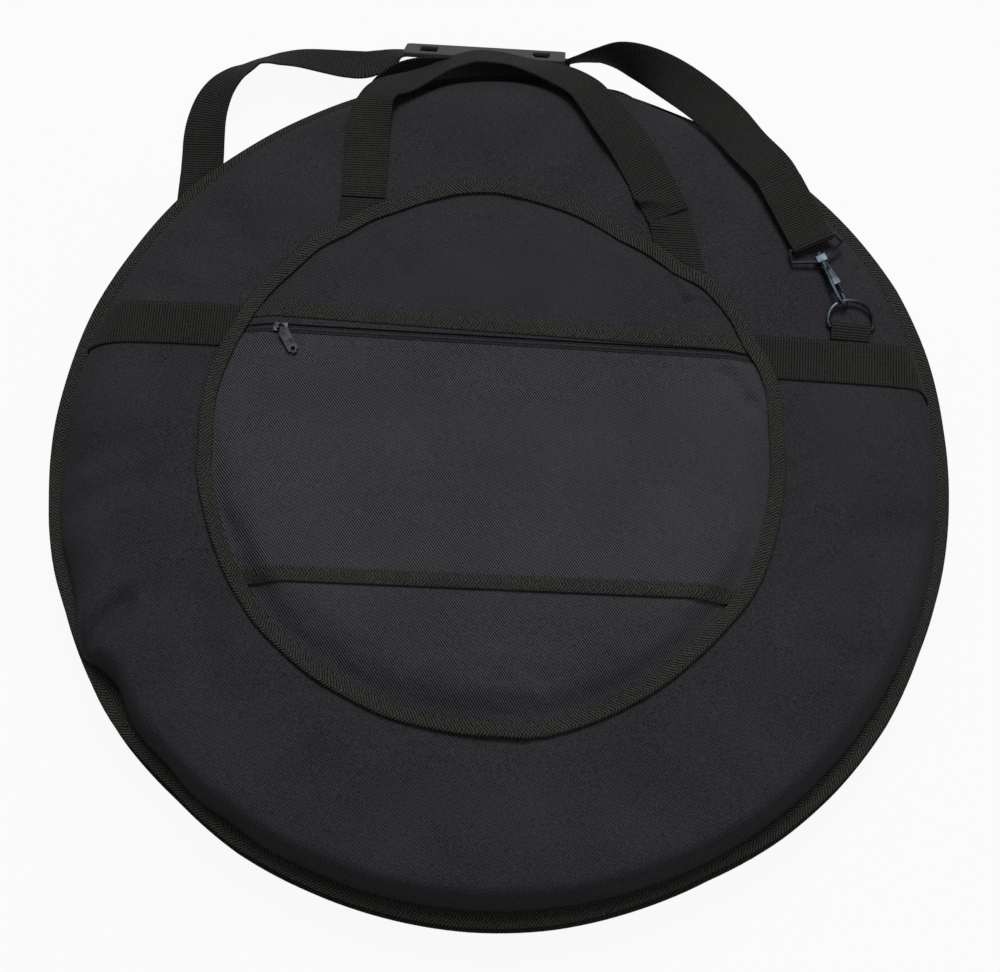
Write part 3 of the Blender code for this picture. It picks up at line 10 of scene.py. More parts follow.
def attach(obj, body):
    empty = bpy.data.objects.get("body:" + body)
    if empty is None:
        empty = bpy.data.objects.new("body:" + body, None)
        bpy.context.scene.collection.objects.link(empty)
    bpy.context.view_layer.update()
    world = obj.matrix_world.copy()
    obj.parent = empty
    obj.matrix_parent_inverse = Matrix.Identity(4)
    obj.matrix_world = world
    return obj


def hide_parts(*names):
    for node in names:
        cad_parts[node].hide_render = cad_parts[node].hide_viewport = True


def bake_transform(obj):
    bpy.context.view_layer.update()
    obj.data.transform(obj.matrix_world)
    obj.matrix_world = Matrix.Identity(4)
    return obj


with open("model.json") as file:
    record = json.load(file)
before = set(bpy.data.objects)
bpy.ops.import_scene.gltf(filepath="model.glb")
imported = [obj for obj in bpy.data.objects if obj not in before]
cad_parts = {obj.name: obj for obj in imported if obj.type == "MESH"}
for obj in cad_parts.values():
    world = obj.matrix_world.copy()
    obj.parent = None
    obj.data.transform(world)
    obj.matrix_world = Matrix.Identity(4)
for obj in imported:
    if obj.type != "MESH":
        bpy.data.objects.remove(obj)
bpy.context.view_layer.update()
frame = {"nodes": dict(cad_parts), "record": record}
print("frame loaded:", len(frame["nodes"]), "nodes")


# the photograph's view: what it looks at, its angles in degrees, its distance and its lens
camera = {"target": (0.0008, -0.0283, 0.0339), "azimuth": 3.7, "elevation": 71.15,
          "distance": 1.6, "lens": 81.27, "clip": 20.0}


def placeCamera():
    azimuth, elevation = math.radians(camera["azimuth"]), math.radians(camera["elevation"])
    level = math.cos(elevation)
    back = Vector((math.sin(azimuth) * level, -math.cos(azimuth) * level, math.sin(elevation)))
    bpy.ops.object.camera_add(location=Vector(camera["target"]) + back * camera["distance"])
    eye = bpy.context.object
    eye.rotation_mode = "QUATERNION"
    eye.rotation_quaternion = (-back).to_track_quat("-Z", "Y")
    eye.data.lens = camera["lens"]
    eye.data.clip_end = camera["clip"]
    bpy.context.scene.camera = eye


placeCamera()


def clearSelection():
    if bpy.context.object and bpy.context.object.mode != "OBJECT":
        bpy.ops.object.mode_set(mode="OBJECT")
    bpy.ops.object.select_all(action="DESELECT")


def pick(obj):
    clearSelection()
    obj.select_set(True)
    bpy.context.view_layer.objects.active = obj


def addPiece(name, operator, **values):
    clearSelection()
    operator(**values)
    piece = bpy.context.object
    piece.name = name
    return piece


def addModifier(obj, kind, **values):
    pick(obj)
    bpy.ops.object.modifier_add(type=kind)
    modifier = obj.modifiers[-1]
    for key, value in values.items():
        setattr(modifier, key, value)
    bpy.ops.object.modifier_apply(modifier=modifier.name)


def bevel(obj, width, segments, degrees):
    addModifier(obj, "BEVEL", width=width, segments=segments, limit_method="ANGLE",
                angle_limit=math.radians(degrees))


def points(obj):
    flat = np.empty(len(obj.data.vertices) * 3)
    obj.data.vertices.foreach_get("co", flat)
    return flat.reshape(-1, 3)


def setPoints(obj, places):
    obj.data.vertices.foreach_set("co", np.asarray(places, dtype=float).ravel())
    obj.data.update()


def polar(places):
    return np.arctan2(places[:, 1], places[:, 0]), np.hypot(places[:, 0], places[:, 1])


def pushOut(places, angle, push):
    places[:, 0] += np.cos(angle) * push
    places[:, 1] += np.sin(angle) * push


def editAll(obj, *steps):
    # each step is a mesh operator with its values, and works on the whole mesh
    pick(obj)
    bpy.ops.object.mode_set(mode="EDIT")
    for operator, values in steps:
        bpy.ops.mesh.select_all(action="SELECT")
        operator(**values)
    bpy.ops.object.mode_set(mode="OBJECT")


def editSome(obj, kind, chosen, operator, **values):
    # the operator works on the edges or faces for which chosen says yes
    pick(obj)
    bpy.ops.object.mode_set(mode="EDIT")
    bpy.ops.mesh.select_mode(type=kind)
    bpy.ops.mesh.select_all(action="DESELECT")
    bpy.ops.object.mode_set(mode="OBJECT")
    for item in (obj.data.edges if kind == "EDGE" else obj.data.polygons):
        item.select = chosen(item)
    bpy.ops.object.mode_set(mode="EDIT")
    operator(**values)
    bpy.ops.mesh.select_mode(type="VERT")
    bpy.ops.object.mode_set(mode="OBJECT")


def aimFaces(obj, up):
    # turns an open sheet's faces so that they look up, or down where up is -1
    normals = np.empty(len(obj.data.polygons) * 3)
    obj.data.polygons.foreach_get("normal", normals)
    if normals.reshape(-1, 3)[:, 2].sum() * up < 0:
        editAll(obj, (bpy.ops.mesh.flip_normals, {}))


def thicken(obj, up, thickness, offset):
    aimFaces(obj, up)
    addModifier(obj, "SOLIDIFY", thickness=thickness, offset=offset)


def smooth(obj, angle=40.0):
    pick(obj)
    bpy.ops.object.shade_smooth_by_angle(angle=math.radians(angle))


def bakePlace(obj):
    pick(obj)
    bpy.ops.object.transform_apply(location=True, rotation=True, scale=True)


def pointOfCorner(mesh):
    corner = np.empty(len(mesh.loops), dtype=int)
    mesh.loops.foreach_get("vertex_index", corner)
    return corner


def writeUv(obj, uvFor):
    # uvFor takes each face corner's place and the middle of its face
    mesh = obj.data
    layer = mesh.uv_layers.active or mesh.uv_layers.new(name="UVMap")
    total = np.empty(len(mesh.polygons), dtype=int)
    mesh.polygons.foreach_get("loop_total", total)
    middle = np.empty(len(mesh.polygons) * 3)
    mesh.polygons.foreach_get("center", middle)
    middle = np.repeat(middle.reshape(-1, 3), total, axis=0)
    u, v = uvFor(points(obj)[pointOfCorner(mesh)], middle)
    layer.data.foreach_set("uv", np.stack([u, v], axis=1).ravel())


def finish(obj, material, replaced, body=None, bend=None):
    obj.data.materials.clear()
    obj.data.materials.append(material)
    if bend:
        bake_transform(obj)
    else:
        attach(obj, body)
    if replaced:
        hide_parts(*replaced)
    return obj


def newMaterial(name):
    material = bpy.data.materials.new(name)
    material.use_nodes = True
    tree = material.node_tree
    return material, tree, tree.nodes["Principled BSDF"]


def mathNode(tree, operation, *values):
    node = tree.nodes.new("ShaderNodeMath")
    node.operation = operation
    for index, value in enumerate(values):
        if hasattr(value, "is_linked"):
            tree.links.new(value, node.inputs[index])
        else:
            node.inputs[index].default_value = value
    return node.outputs[0]


def noiseNode(tree, scale, detail=2.0, source=None):
    source = source or tree.nodes.new("ShaderNodeTexCoord").outputs["Object"]
    node = tree.nodes.new("ShaderNodeTexNoise")
    node.inputs["Scale"].default_value = scale
    node.inputs["Detail"].default_value = detail
    tree.links.new(source, node.inputs["Vector"])
    return node.outputs["Fac"]


def paint(tree, shader, source, low, high, dark, light):
    # the colour runs from dark to light as the source runs from low to high
    node = tree.nodes.new("ShaderNodeValToRGB")
    for index, (position, colour) in enumerate(((low, dark), (high, light))):
        node.color_ramp.elements[index].position = position
        node.color_ramp.elements[index].color = (*colour, 1.0)
    tree.links.new(source, node.inputs["Fac"])
    tree.links.new(node.outputs["Color"], shader.inputs["Base Color"])


def emboss(tree, shader, height, depth):
    bump = tree.nodes.new("ShaderNodeBump")
    bump.inputs["Strength"].default_value = 1.0
    bump.inputs["Distance"].default_value = depth
    tree.links.new(height, bump.inputs["Height"])
    tree.links.new(bump.outputs["Normal"], shader.inputs["Normal"])


def stripes(tree, u, v, slant, pitch):
    # a row of ribs: the sine of (v + slant * u) over the pitch
    turned = mathNode(tree, "MULTIPLY_ADD", u, slant, v)
    return mathNode(tree, "SINE", mathNode(tree, "MULTIPLY", turned, 2 * math.pi / pitch))


# how far apart the ribs of each weave are and how they slant, and where a tape's herringbone turns
weave = {"twill": 0.00250, "twillSlant": 1.3, "herring": 0.00230, "herringSlant": 0.8, "turn": 0.0080,
         "wobble": 0.0022, "rib": 0.00195, "thread": 0.0011, "coil": 0.0015, "coilRow": 0.0022}


def twillWeave(tree, u, v):
    return stripes(tree, u, v, weave["twillSlant"], weave["twill"])


def herringboneWeave(tree, u, v):
    # the ribs slant one way up to the turn and the other way after it
    spot = tree.nodes.new("ShaderNodeCombineXYZ")
    tree.links.new(u, spot.inputs[0])
    tree.links.new(v, spot.inputs[1])
    wobble = mathNode(tree, "MULTIPLY_ADD", noiseNode(tree, 300.0, 2.0, spot.outputs[0]), weave["wobble"], v)
    folded = mathNode(tree, "ABSOLUTE", mathNode(tree, "SUBTRACT", u, weave["turn"]))
    return stripes(tree, folded, wobble, weave["herringSlant"], weave["herring"])


def webWeave(tree, u, v):
    threads = stripes(tree, v, u, 0.0, weave["thread"])
    depth = mathNode(tree, "MULTIPLY_ADD", threads, 0.35, 0.65)
    return mathNode(tree, "MULTIPLY", stripes(tree, u, v, 0.0, weave["rib"]), depth)


def zipWeave(tree, u, v):
    # two rows of fine coils with a dark line between them
    coils, rows = stripes(tree, u, v, 0.0, weave["coil"]), stripes(tree, v, u, 0.0, weave["coilRow"])
    return mathNode(tree, "MULTIPLY", mathNode(tree, "SUBTRACT", coils, rows), 0.5)


def fabricMaterial(name, dark, light, threads, depth, roughness=0.9, ribs=0.6):
    # threads builds the height of the weave from the piece's own u and v, in metres
    material, tree, shader = newMaterial(name)
    uv = tree.nodes.new("ShaderNodeUVMap")
    uv.uv_map = "UVMap"
    split = tree.nodes.new("ShaderNodeSeparateXYZ")
    tree.links.new(uv.outputs["UV"], split.inputs[0])
    blotch, grain = noiseNode(tree, 14.0, 4.0), noiseNode(tree, 900.0)
    height = mathNode(tree, "MULTIPLY_ADD", threads(tree, split.outputs[0], split.outputs[1]), 0.5, 0.5)
    mixed = mathNode(tree, "MULTIPLY_ADD", grain, 0.8, mathNode(tree, "MULTIPLY", height, ribs))
    toned = mathNode(tree, "MULTIPLY_ADD", blotch, 0.25, mixed)
    paint(tree, shader, toned, 0.22 + 0.5 * ribs, 0.58 + ribs, dark, light)
    rough = mathNode(tree, "MULTIPLY_ADD", blotch, 0.12, roughness - 0.06)
    tree.links.new(rough, shader.inputs["Roughness"])
    shader.inputs["Specular IOR Level"].default_value = 0.06
    emboss(tree, shader, mathNode(tree, "MULTIPLY_ADD", grain, 0.5, height), depth)
    return material


def metalMaterial(name, dark, light, roughness, scale=60.0):
    material, tree, shader = newMaterial(name)
    wear = noiseNode(tree, scale, 4.0)
    paint(tree, shader, wear, 0.35, 0.7, dark, light)
    shader.inputs["Metallic"].default_value = 1.0
    rough = mathNode(tree, "MULTIPLY_ADD", noiseNode(tree, scale * 6), 0.2, roughness)
    tree.links.new(rough, shader.inputs["Roughness"])
    emboss(tree, shader, wear, 0.00004)
    return material


def rubberMaterial(name, dark, light):
    material, tree, shader = newMaterial(name)
    paint(tree, shader, noiseNode(tree, 45.0, 4.0), 0.3, 0.75, dark, light)
    shader.inputs["Roughness"].default_value = 0.7
    shader.inputs["Specular IOR Level"].default_value = 0.3
    emboss(tree, shader, noiseNode(tree, 1400.0), 0.00008)
    return material


# each colour is given as its dark and its light end
colour = {"cloth": ((0.0052, 0.0052, 0.0060), (0.0455, 0.0450, 0.0510)),
          "lining": ((0.010, 0.010, 0.011), (0.030, 0.030, 0.033)),
          "tape": ((0.0046, 0.0048, 0.0042), (0.0390, 0.0400, 0.0355)),
          "web": ((0.0003, 0.0003, 0.0002), (0.0236, 0.0244, 0.0224)),
          "zip": ((0.0015, 0.0015, 0.0018), (0.030, 0.030, 0.034)),
          "thread": ((0.006, 0.006, 0.006), (0.045, 0.046, 0.040)),
          "steel": ((0.014, 0.018, 0.022), (0.066, 0.086, 0.102)),
          "darkSteel": ((0.005, 0.005, 0.006), (0.022, 0.022, 0.024)),
          "rubber": ((0.006, 0.007, 0.006), (0.014, 0.016, 0.013))}


def twill(name, darkShare, lightShare, depth, ribs=0.6):
    dark, light = colour["cloth"]
    return fabricMaterial(name, tuple(darkShare * channel for channel in dark),
                          tuple(lightShare * channel for channel in light), twillWeave, depth, ribs=ribs)


cloth = twill("blackTwill", 0.62, 0.80, 0.00020, 0.36)
# the pocket's three panels are one cloth: these are lit and shaded copies of it, with painted light on the
# middle panel and painted shade on the upper and lower panels
middleTwillPaintedLight = twill("middleTwillPaintedLight", 0.50, 1.28, 0.00035)
upperTwillPaintedShade = twill("upperPocketTwillPaintedShade", 0.40, 0.88, 0.00030)
lowerTwillPaintedShade = twill("lowerPocketTwillPaintedShade", 0.50, 1.10, 0.00030)
liningCloth = fabricMaterial("liningWeave", *colour["lining"], twillWeave, 0.00005, 0.8)
tape = fabricMaterial("herringboneTape", *colour["tape"], herringboneWeave, 0.00055, 0.85)
webbing = fabricMaterial("ribbedWebbing", *colour["web"], webWeave, 0.00070, 0.8, 0.9)
zipCloth = fabricMaterial("zipCoil", *colour["zip"], zipWeave, 0.00050, 0.6)
thread = fabricMaterial("blackThread", *colour["thread"], zipWeave, 0.00010, 0.6)
steel = metalMaterial("bluedSteel", *colour["steel"], 0.34)
darkSteel = metalMaterial("blackedSteel", *colour["darkSteel"], 0.22, 180.0)
padRubber = rubberMaterial("greyRubber", *colour["rubber"])
print("materials made")


def turn(name, outline, closed, steps, start=0.0, end=360.0, middle=(0.0, 0.0)):
    # the outline is a list of (radius, height) spun round an upright axis
    piece = addPiece(name, bpy.ops.mesh.primitive_circle_add, vertices=len(outline), radius=0.01,
                     fill_type="NOTHING")
    first = math.radians(start)
    setPoints(piece, [(r * math.cos(first), r * math.sin(first), z) for r, z in outline])
    if not closed:
        ends = {0, len(outline) - 1}
        editSome(piece, "EDGE", lambda edge: set(edge.vertices) == ends, bpy.ops.mesh.delete, type="EDGE")
    work = [(bpy.ops.mesh.spin, {"steps": steps, "angle": math.radians(end - start),
                                 "center": (0.0, 0.0, 0.0), "axis": (0.0, 0.0, 1.0)}),
            (bpy.ops.mesh.remove_doubles, {"threshold": 0.00001})]
    if closed and end - start < 359.0:
        work.append((bpy.ops.mesh.fill_holes, {"sides": 0}))
    work.append((bpy.ops.mesh.normals_make_consistent, {"inside": False}))
    editAll(piece, *work)
    setPoints(piece, points(piece) + (*middle, 0.0))
    return piece


def ringUv(piece, inner, radius, middle=(0.0, 0.0)):
    def uvFor(corner, face):
        angle, reach = polar(corner - (*middle, 0.0))
        centre = polar(face - (*middle, 0.0))[0]
        angle += 2 * np.pi * np.round((centre - angle) / (2 * np.pi))
        return reach - inner, angle * radius
    writeUv(piece, uvFor)


def flatUv(piece, middle=(0.0, 0.0), steep=None):
    # u and v are x and y; down a steep wall the run of the cloth is added outwards
    def uvFor(corner, face):
        x, y = corner[:, 0] - middle[0], corner[:, 1] - middle[1]
        if steep is None:
            return x, y
        reach = np.hypot(x, y)
        run = (reach + np.maximum(steep - corner[:, 2], 0.0)) / np.maximum(reach, 1e-6)
        return x * run, y * run
    writeUv(piece, uvFor)


def runAlong(rows):
    # how far each place lies along the line through all of them
    return np.concatenate([[0.0], np.cumsum(np.linalg.norm(np.diff(rows, axis=0), axis=1))])


def readAt(wanted, run, rows):
    return np.stack([np.interp(wanted, run, column) for column in np.asarray(rows).T], axis=1)


def curveThrough(rows, count):
    # a curve through every row of numbers, read at even steps along its length
    rows = np.array(rows, dtype=float)
    padded = np.vstack([2 * rows[0] - rows[1], rows, 2 * rows[-1] - rows[-2]])
    fine = []
    for index in range(1, len(padded) - 2):
        p0, p1, p2, p3 = padded[index - 1:index + 3]
        for t in np.linspace(0.0, 1.0, 16, endpoint=False):
            fine.append(0.5 * (2 * p1 + (p2 - p0) * t + (2 * p0 - 5 * p1 + 4 * p2 - p3) * t ** 2
                               + (3 * p1 - p0 - 3 * p2 + p3) * t ** 3))
    fine = np.array(fine + [rows[-1]])
    run = runAlong(fine[:, :3])
    return readAt(np.linspace(0.0, run[-1], count), run, fine)


def bumpWave(angle, seed, strength):
    # slow waves round the bag, the same each run
    generator = np.random.default_rng(seed)
    total = np.zeros_like(angle)
    for beats in (2, 3, 5, 7, 11):
        total += np.cos(beats * angle + generator.uniform(0, 2 * np.pi)) / beats ** 0.5
    return total * strength / 2.2


def bell(value, middle, wide):
    return np.exp(-((value - middle) / wide) ** 2)


def rise(value, start, over):
    # from 0 at the start to 1 where it is over
    return np.clip((value - start) / over, 0, 1)


# sizes in metres, the shoulder and belly as shares of their run and drop, the crease in degrees round the bag
# each catch is how far the cloth stands out, at which degree, and how wide it is before and after it
bag = {
    "middle": (0.0, -0.0202), "wall": 0.3085, "flat": 0.215, "top": 0.0715, "frontEdge": 0.0353,
    "thick": 0.0048, "rest": 0.200, "backRise": 0.0185, "offGround": 0.0017, "steps": 400, "foldY": -0.2252,
    "dentDepth": 1.7, "lining": 0.0006,
    "crease": {"from": 196.0, "span": 208.0, "fade": 14.0, "deepest": 0.011, "share": 0.9},
    "catches": ((0.0078, 209.0, 5.0, 1.5), (-0.0040, 214.5, 2.6, 2.6)),
    "shoulder": ((0, 0), (0.2, 0.008), (0.36, 0.026), (0.5, 0.05), (0.64, 0.092), (0.74, 0.145), (0.8, 0.2),
                 (0.86, 0.29), (0.91, 0.4), (0.95, 0.51), (0.98, 0.63), (0.996, 0.76), (1, 0.88), (1, 1)),
    "belly": ((0, 0), (0.15, 0.09), (0.3, 0.2), (0.58, 0.5), (0.82, 0.78), (0.95, 0.91), (1, 1)),
}
foldBend = ("back", "front", (0.0, bag["foldY"] - 0.012, bag["top"]), (0.0, bag["foldY"] + 0.012, bag["top"]))


def frontOutline():
    drop = bag["top"] - bag["frontEdge"]
    rings = [(bag["flat"] * share, bag["top"]) for share in np.linspace(0.0, 1.0, 20)]
    rows = np.array(bag["shoulder"]) * (bag["wall"] - bag["flat"], drop)
    run = runAlong(rows)
    shoulder = readAt(np.linspace(0.0, run[-1], 34)[1:], run, rows)
    return rings + [(bag["flat"] + out, bag["top"] - down) for out, down in shoulder]


def backOutline():
    run = bag["wall"] - bag["rest"]
    rings = [(bag["rest"] * share, 0.0) for share in np.linspace(0.0, 1.0, 10)]
    return rings + [(bag["rest"] + out * run, up * bag["backRise"]) for out, up in bag["belly"][1:]]


swelling = {"frames": 20, "stiffness": 12.0, "bending": 0.8, "quality": 5}


def inflate(piece, pinned, pressure, cap):
    # lets the cloth swell under pressure, held where pinned, and caps how far it moves
    before = points(piece)
    group = piece.vertex_groups.new(name="held")
    group.add(np.flatnonzero(pinned).tolist(), 1.0, "REPLACE")
    pick(piece)
    bpy.ops.object.modifier_add(type="CLOTH")
    clothModifier = piece.modifiers[-1]
    settings = clothModifier.settings
    settings.use_pressure = True
    settings.uniform_pressure_force = pressure
    settings.effector_weights.gravity = 0.0
    settings.vertex_group_mass = "held"
    settings.tension_stiffness = settings.compression_stiffness = swelling["stiffness"]
    settings.bending_stiffness = swelling["bending"]
    settings.quality = swelling["quality"]
    clothModifier.collision_settings.use_collision = False
    scene = bpy.context.scene
    clothModifier.point_cache.frame_start, clothModifier.point_cache.frame_end = 1, swelling["frames"]
    for step in range(1, swelling["frames"] + 1):
        scene.frame_set(step)
    pick(piece)
    bpy.ops.object.modifier_apply(modifier=clothModifier.name)
    moved = points(piece) - before
    size = np.linalg.norm(moved, axis=1, keepdims=True)
    print("cloth moved at most", round(float(size.max()) * 1000, 2), "mm")
    moved *= cap * np.tanh(size / cap) / np.maximum(size, 1e-9)
    scene.frame_set(1)
    piece.vertex_groups.clear()
    setPoints(piece, before + moved)


def rimWave(degree):
    # the left wall is puckered: it bulges over its edge tape and draws back from it
    coarse = 0.0022 * np.cos(np.radians(degree - 190.0) * 20.0)
    return bell(degree, 196.0, 26.0) * (coarse + 0.0010 * np.cos(np.radians(degree - 183.0) * 33.0))


def lowest(x, y, furrows):
    # how far each point sinks into the furrows, with a low swell along both sides of each
    total = np.zeros_like(x)
    for (x0, y0), (x1, y1), wide, deep in furrows:
        length2 = (x1 - x0) ** 2 + (y1 - y0) ** 2
        along = np.clip(((x - x0) * (x1 - x0) + (y - y0) * (y1 - y0)) / length2, 0, 1)
        gap = np.hypot(x - x0 - along * (x1 - x0), y - y0 - along * (y1 - y0))
        total += deep * (bell(gap, 0.0, wide) - 0.30 * bell(gap, 2.0 * wide, wide))
    return total


# soft dents in the front cover: where each starts and ends from the bag's middle, how wide and how deep
coverDents = (
    ((-0.268, -0.146), (-0.246, -0.118), 0.006, 0.003), ((-0.3, -0.02), (-0.262, -0.004), 0.011, 0.0016),
    ((-0.295, -0.055), (-0.25, -0.03), 0.009, 0.0013), ((-0.196, -0.12), (-0.184, -0.172), 0.012, 0.0014),
    ((-0.262, -0.136), (-0.232, -0.112), 0.01, 0.0015), ((-0.228, -0.186), (-0.19, -0.15), 0.012, 0.0012),
    ((-0.12, -0.262), (-0.108, -0.222), 0.011, 0.001), ((0.06, -0.284), (0.052, -0.24), 0.013, 0.001),
    ((0.176, -0.226), (0.15, -0.192), 0.012, 0.0012), ((0.258, -0.13), (0.222, -0.118), 0.011, 0.0013),
    ((0.292, -0.03), (0.25, -0.04), 0.011, 0.0012), ((0.06, 0.252), (0.052, 0.205), 0.012, 0.0012),
    ((-0.016, 0.262), (-0.024, 0.215), 0.011, 0.001), ((-0.214, 0.176), (-0.19, 0.15), 0.01, 0.0012),
    ((-0.266, 0.118), (-0.236, 0.112), 0.009, 0.0014), ((0.15, 0.196), (0.176, 0.15), 0.011, 0.001))


def crispShoulder(out):
    return np.interp(out, (0.0, 0.60, 0.80, 0.87, 0.905, 0.935, 0.960, 0.982, 1.0),
                     (0.0, 0.020, 0.055, 0.085, 0.130, 0.250, 0.440, 0.680, 1.0))


def closeSkin(skin, places, up):
    # the foam goes under the skin, and the whole moves to the bag's middle
    setPoints(skin, places)
    thicken(skin, up, bag["thick"], -1.0)
    setPoints(skin, points(skin) + (*bag["middle"], 0.0))


def makeFrontCover():
    skin = turn("frontCover", frontOutline(), False, bag["steps"])
    places = points(skin)
    angle, reach = polar(places)
    degree = np.degrees(angle) % 360
    # how far along the shoulder each point is and how far down, from 0 at the flat to 1 at the edge tape
    out = rise(reach, bag["flat"], bag["wall"] - bag["flat"])
    drop = bag["top"] - bag["frontEdge"]
    low = np.clip((bag["top"] - places[:, 2]) / drop, 0, 1)
    swell = bumpWave(angle, 5, 0.0009) * out * (1 - low ** 2)
    pucker = rimWave(degree) * np.sin(np.pi * low ** 0.6) + bumpWave(angle, 9, 0.0006) * low
    # low down the flat ends in a crease before the wall falls away; the crease is weaker past the bottom
    crease = bag["crease"]
    turned = (degree - crease["from"]) % 360
    crisp = rise(turned, 0.0, crease["fade"]) * np.clip((crease["span"] - turned) / crease["fade"], 0, 1)
    crisp *= (low < 0.86) * (1 - 0.35 * rise(turned, 140.0, 30.0))
    falls = bag["top"] - crispShoulder(out) * drop
    places[:, 2] += np.clip(falls - places[:, 2], 0.0, crease["deepest"]) * crisp * crease["share"]
    places[:, 2] -= bag["dentDepth"] * lowest(places[:, 0], places[:, 1], coverDents) * (low < 0.6)
    for push, at, before, after in bag["catches"]:
        pucker += push * bell(degree, at, np.where(degree < at, before, after)) * low ** 0.5
    pucker += 0.0013 * np.cos(np.radians(degree * 31.0)) * bell(degree, 228.0, 16.0) * low ** 0.5
    pushOut(places, angle, pucker)
    places[:, 2] += swell
    closeSkin(skin, places, 1)
    flatUv(skin, bag["middle"], bag["top"] - 0.004)
    smooth(skin, 60.0)
    finish(skin, cloth, ["front_panel_lid", "front_panel_base"], bend=foldBend)
    return skin


def makeBackCover():
    # the bag stands on the band and the handle's ends, so the cloth is a web's thickness above them
    skin = turn("backCover", backOutline(), False, 160)
    places = points(skin)
    places[:, 2] += bag["offGround"] * np.clip((bag["wall"] - polar(places)[1]) / 0.010, 0, 1)
    closeSkin(skin, places, -1)
    flatUv(skin, bag["middle"])
    smooth(skin, 60.0)
    finish(skin, cloth, ["back_panel"], "back")


def makeLinings():
    inset = bag["thick"] + 0.0008
    wall = bag["wall"] - inset - 0.001
    front = [(min(r, wall), z - inset) for r, z in frontOutline() if z > bag["frontEdge"] + 0.004]
    back = [(r, z + inset + bag["offGround"]) for r, z in backOutline() if r < bag["wall"] - 0.02]
    for name, outline, up, offset, nodes, bend in (
            ("frontLining", front, -1, -1.0, ["front_lining_lid", "front_lining_base"], foldBend),
            ("backLining", back, 1, 0.0, ["back_lining"], None)):
        sheet = turn(name, outline, False, 96, middle=bag["middle"])
        thicken(sheet, up, bag["lining"], offset)
        flatUv(sheet)
        smooth(sheet)
        finish(sheet, liningCloth, nodes, "back", bend)


frontCover = makeFrontCover()
makeBackCover()
makeLinings()
print("panels made")


# each tape's inner and outer radius, and how low and how high it reaches
edgeTape = {"front": (0.3045, 0.3190, 0.0325, 0.0355), "back": (0.3045, 0.3203, 0.0188, 0.0218), "steps": 240}


def foldedTape(name, inner, outer, low, high, steps):
    # a tape folded over an edge: thin at the seam, fuller at the fold
    half, mid, width = (high - low) / 2, (low + high) / 2, outer - inner
    flank = ((0.0, 0.75), (0.35, 0.85), (0.7, 1.0))
    section = [(inner + width * share, mid - half * full) for share, full in flank]
    for step in range(5):
        bend = math.radians(-70 + 35 * step)
        section.append((outer - half + half * math.cos(bend), mid + half * math.sin(bend)))
    section += [(inner + width * share, mid + half * full) for share, full in reversed(flank)]
    piece = turn(name, section, True, steps)
    ringUv(piece, inner, (inner + outer) / 2)
    return piece


# how much further the edge tapes stand out than a true circle, in millimetres, every 10 degrees from -180
rimReach = (0.8, 1.5, -0.6, 0.0, 0.6, -2.2, 0.0, -1.0, -0.6, 0.0, -0.4, -2.4, -3.6, 0.0, 1.2, 1.0, -2.0, -0.8,
            -0.5, 0.2, 3.0, 4.4, 2.6, 0.5, -2.0, -3.2, -1.5, 0.0, 0.0, 0.0, 0.0, 1.0, 2.8, 2.2, 2.8, 2.0, 0.8)


def rimPush(angle):
    degree = (np.degrees(angle) + 180.0) % 360.0
    return np.interp(degree, np.arange(0.0, 361.0, 10.0), rimReach) / 1000.0


def makeRimTapes():
    for name, side, nodes, bend in (
            ("frontEdgeTape", "front", ["front_binding_lid", "front_binding_base"], foldBend),
            ("backEdgeTape", "back", ["back_binding"], None)):
        inner, outer, low, high = edgeTape[side]
        piece = foldedTape(name, inner, outer, low, high, edgeTape["steps"])
        places = points(piece)
        angle, reach = polar(places)
        out = (reach - inner) / (outer - inner)
        if side == "front":  # this one waves, most of all on the left
            degree = np.degrees(angle) % 360
            window = bell(degree, 200.0, 40.0)
            lift = out * (bumpWave(angle, 21, 0.0007) + window * 0.0012 * np.cos(np.radians(degree) * 17.0))
            wave = window * 0.0009 * np.cos(np.radians(degree - 8.0) * 19.0)
            push = bumpWave(angle, 22, 0.0005) + wave + rimPush(angle)
            places[:, 2] += np.maximum(lift, -0.0015)
        else:
            push = rimPush(angle) * 0.7 + bumpWave(angle, 24, 0.0005)
        pushOut(places, angle, push * out)
        setPoints(piece, places + (*bag["middle"], 0.0))
        smooth(piece, 50.0)
        finish(piece, tape, nodes, side, bend)


makeRimTapes()
print("edge tapes made")


# each half runs from its edge to its mouth; the zip and the wall go from one degree to another
mainZip = {"radius": 0.3064, "tape": 0.0009, "coil": 0.0020, "lower": (0.0221, 0.0270),
           "upper": (0.0322, 0.0273), "bendLength": 0.045, "from": -39.0, "to": 219.0, "wallFrom": 220.0,
           "wallTo": 320.0}


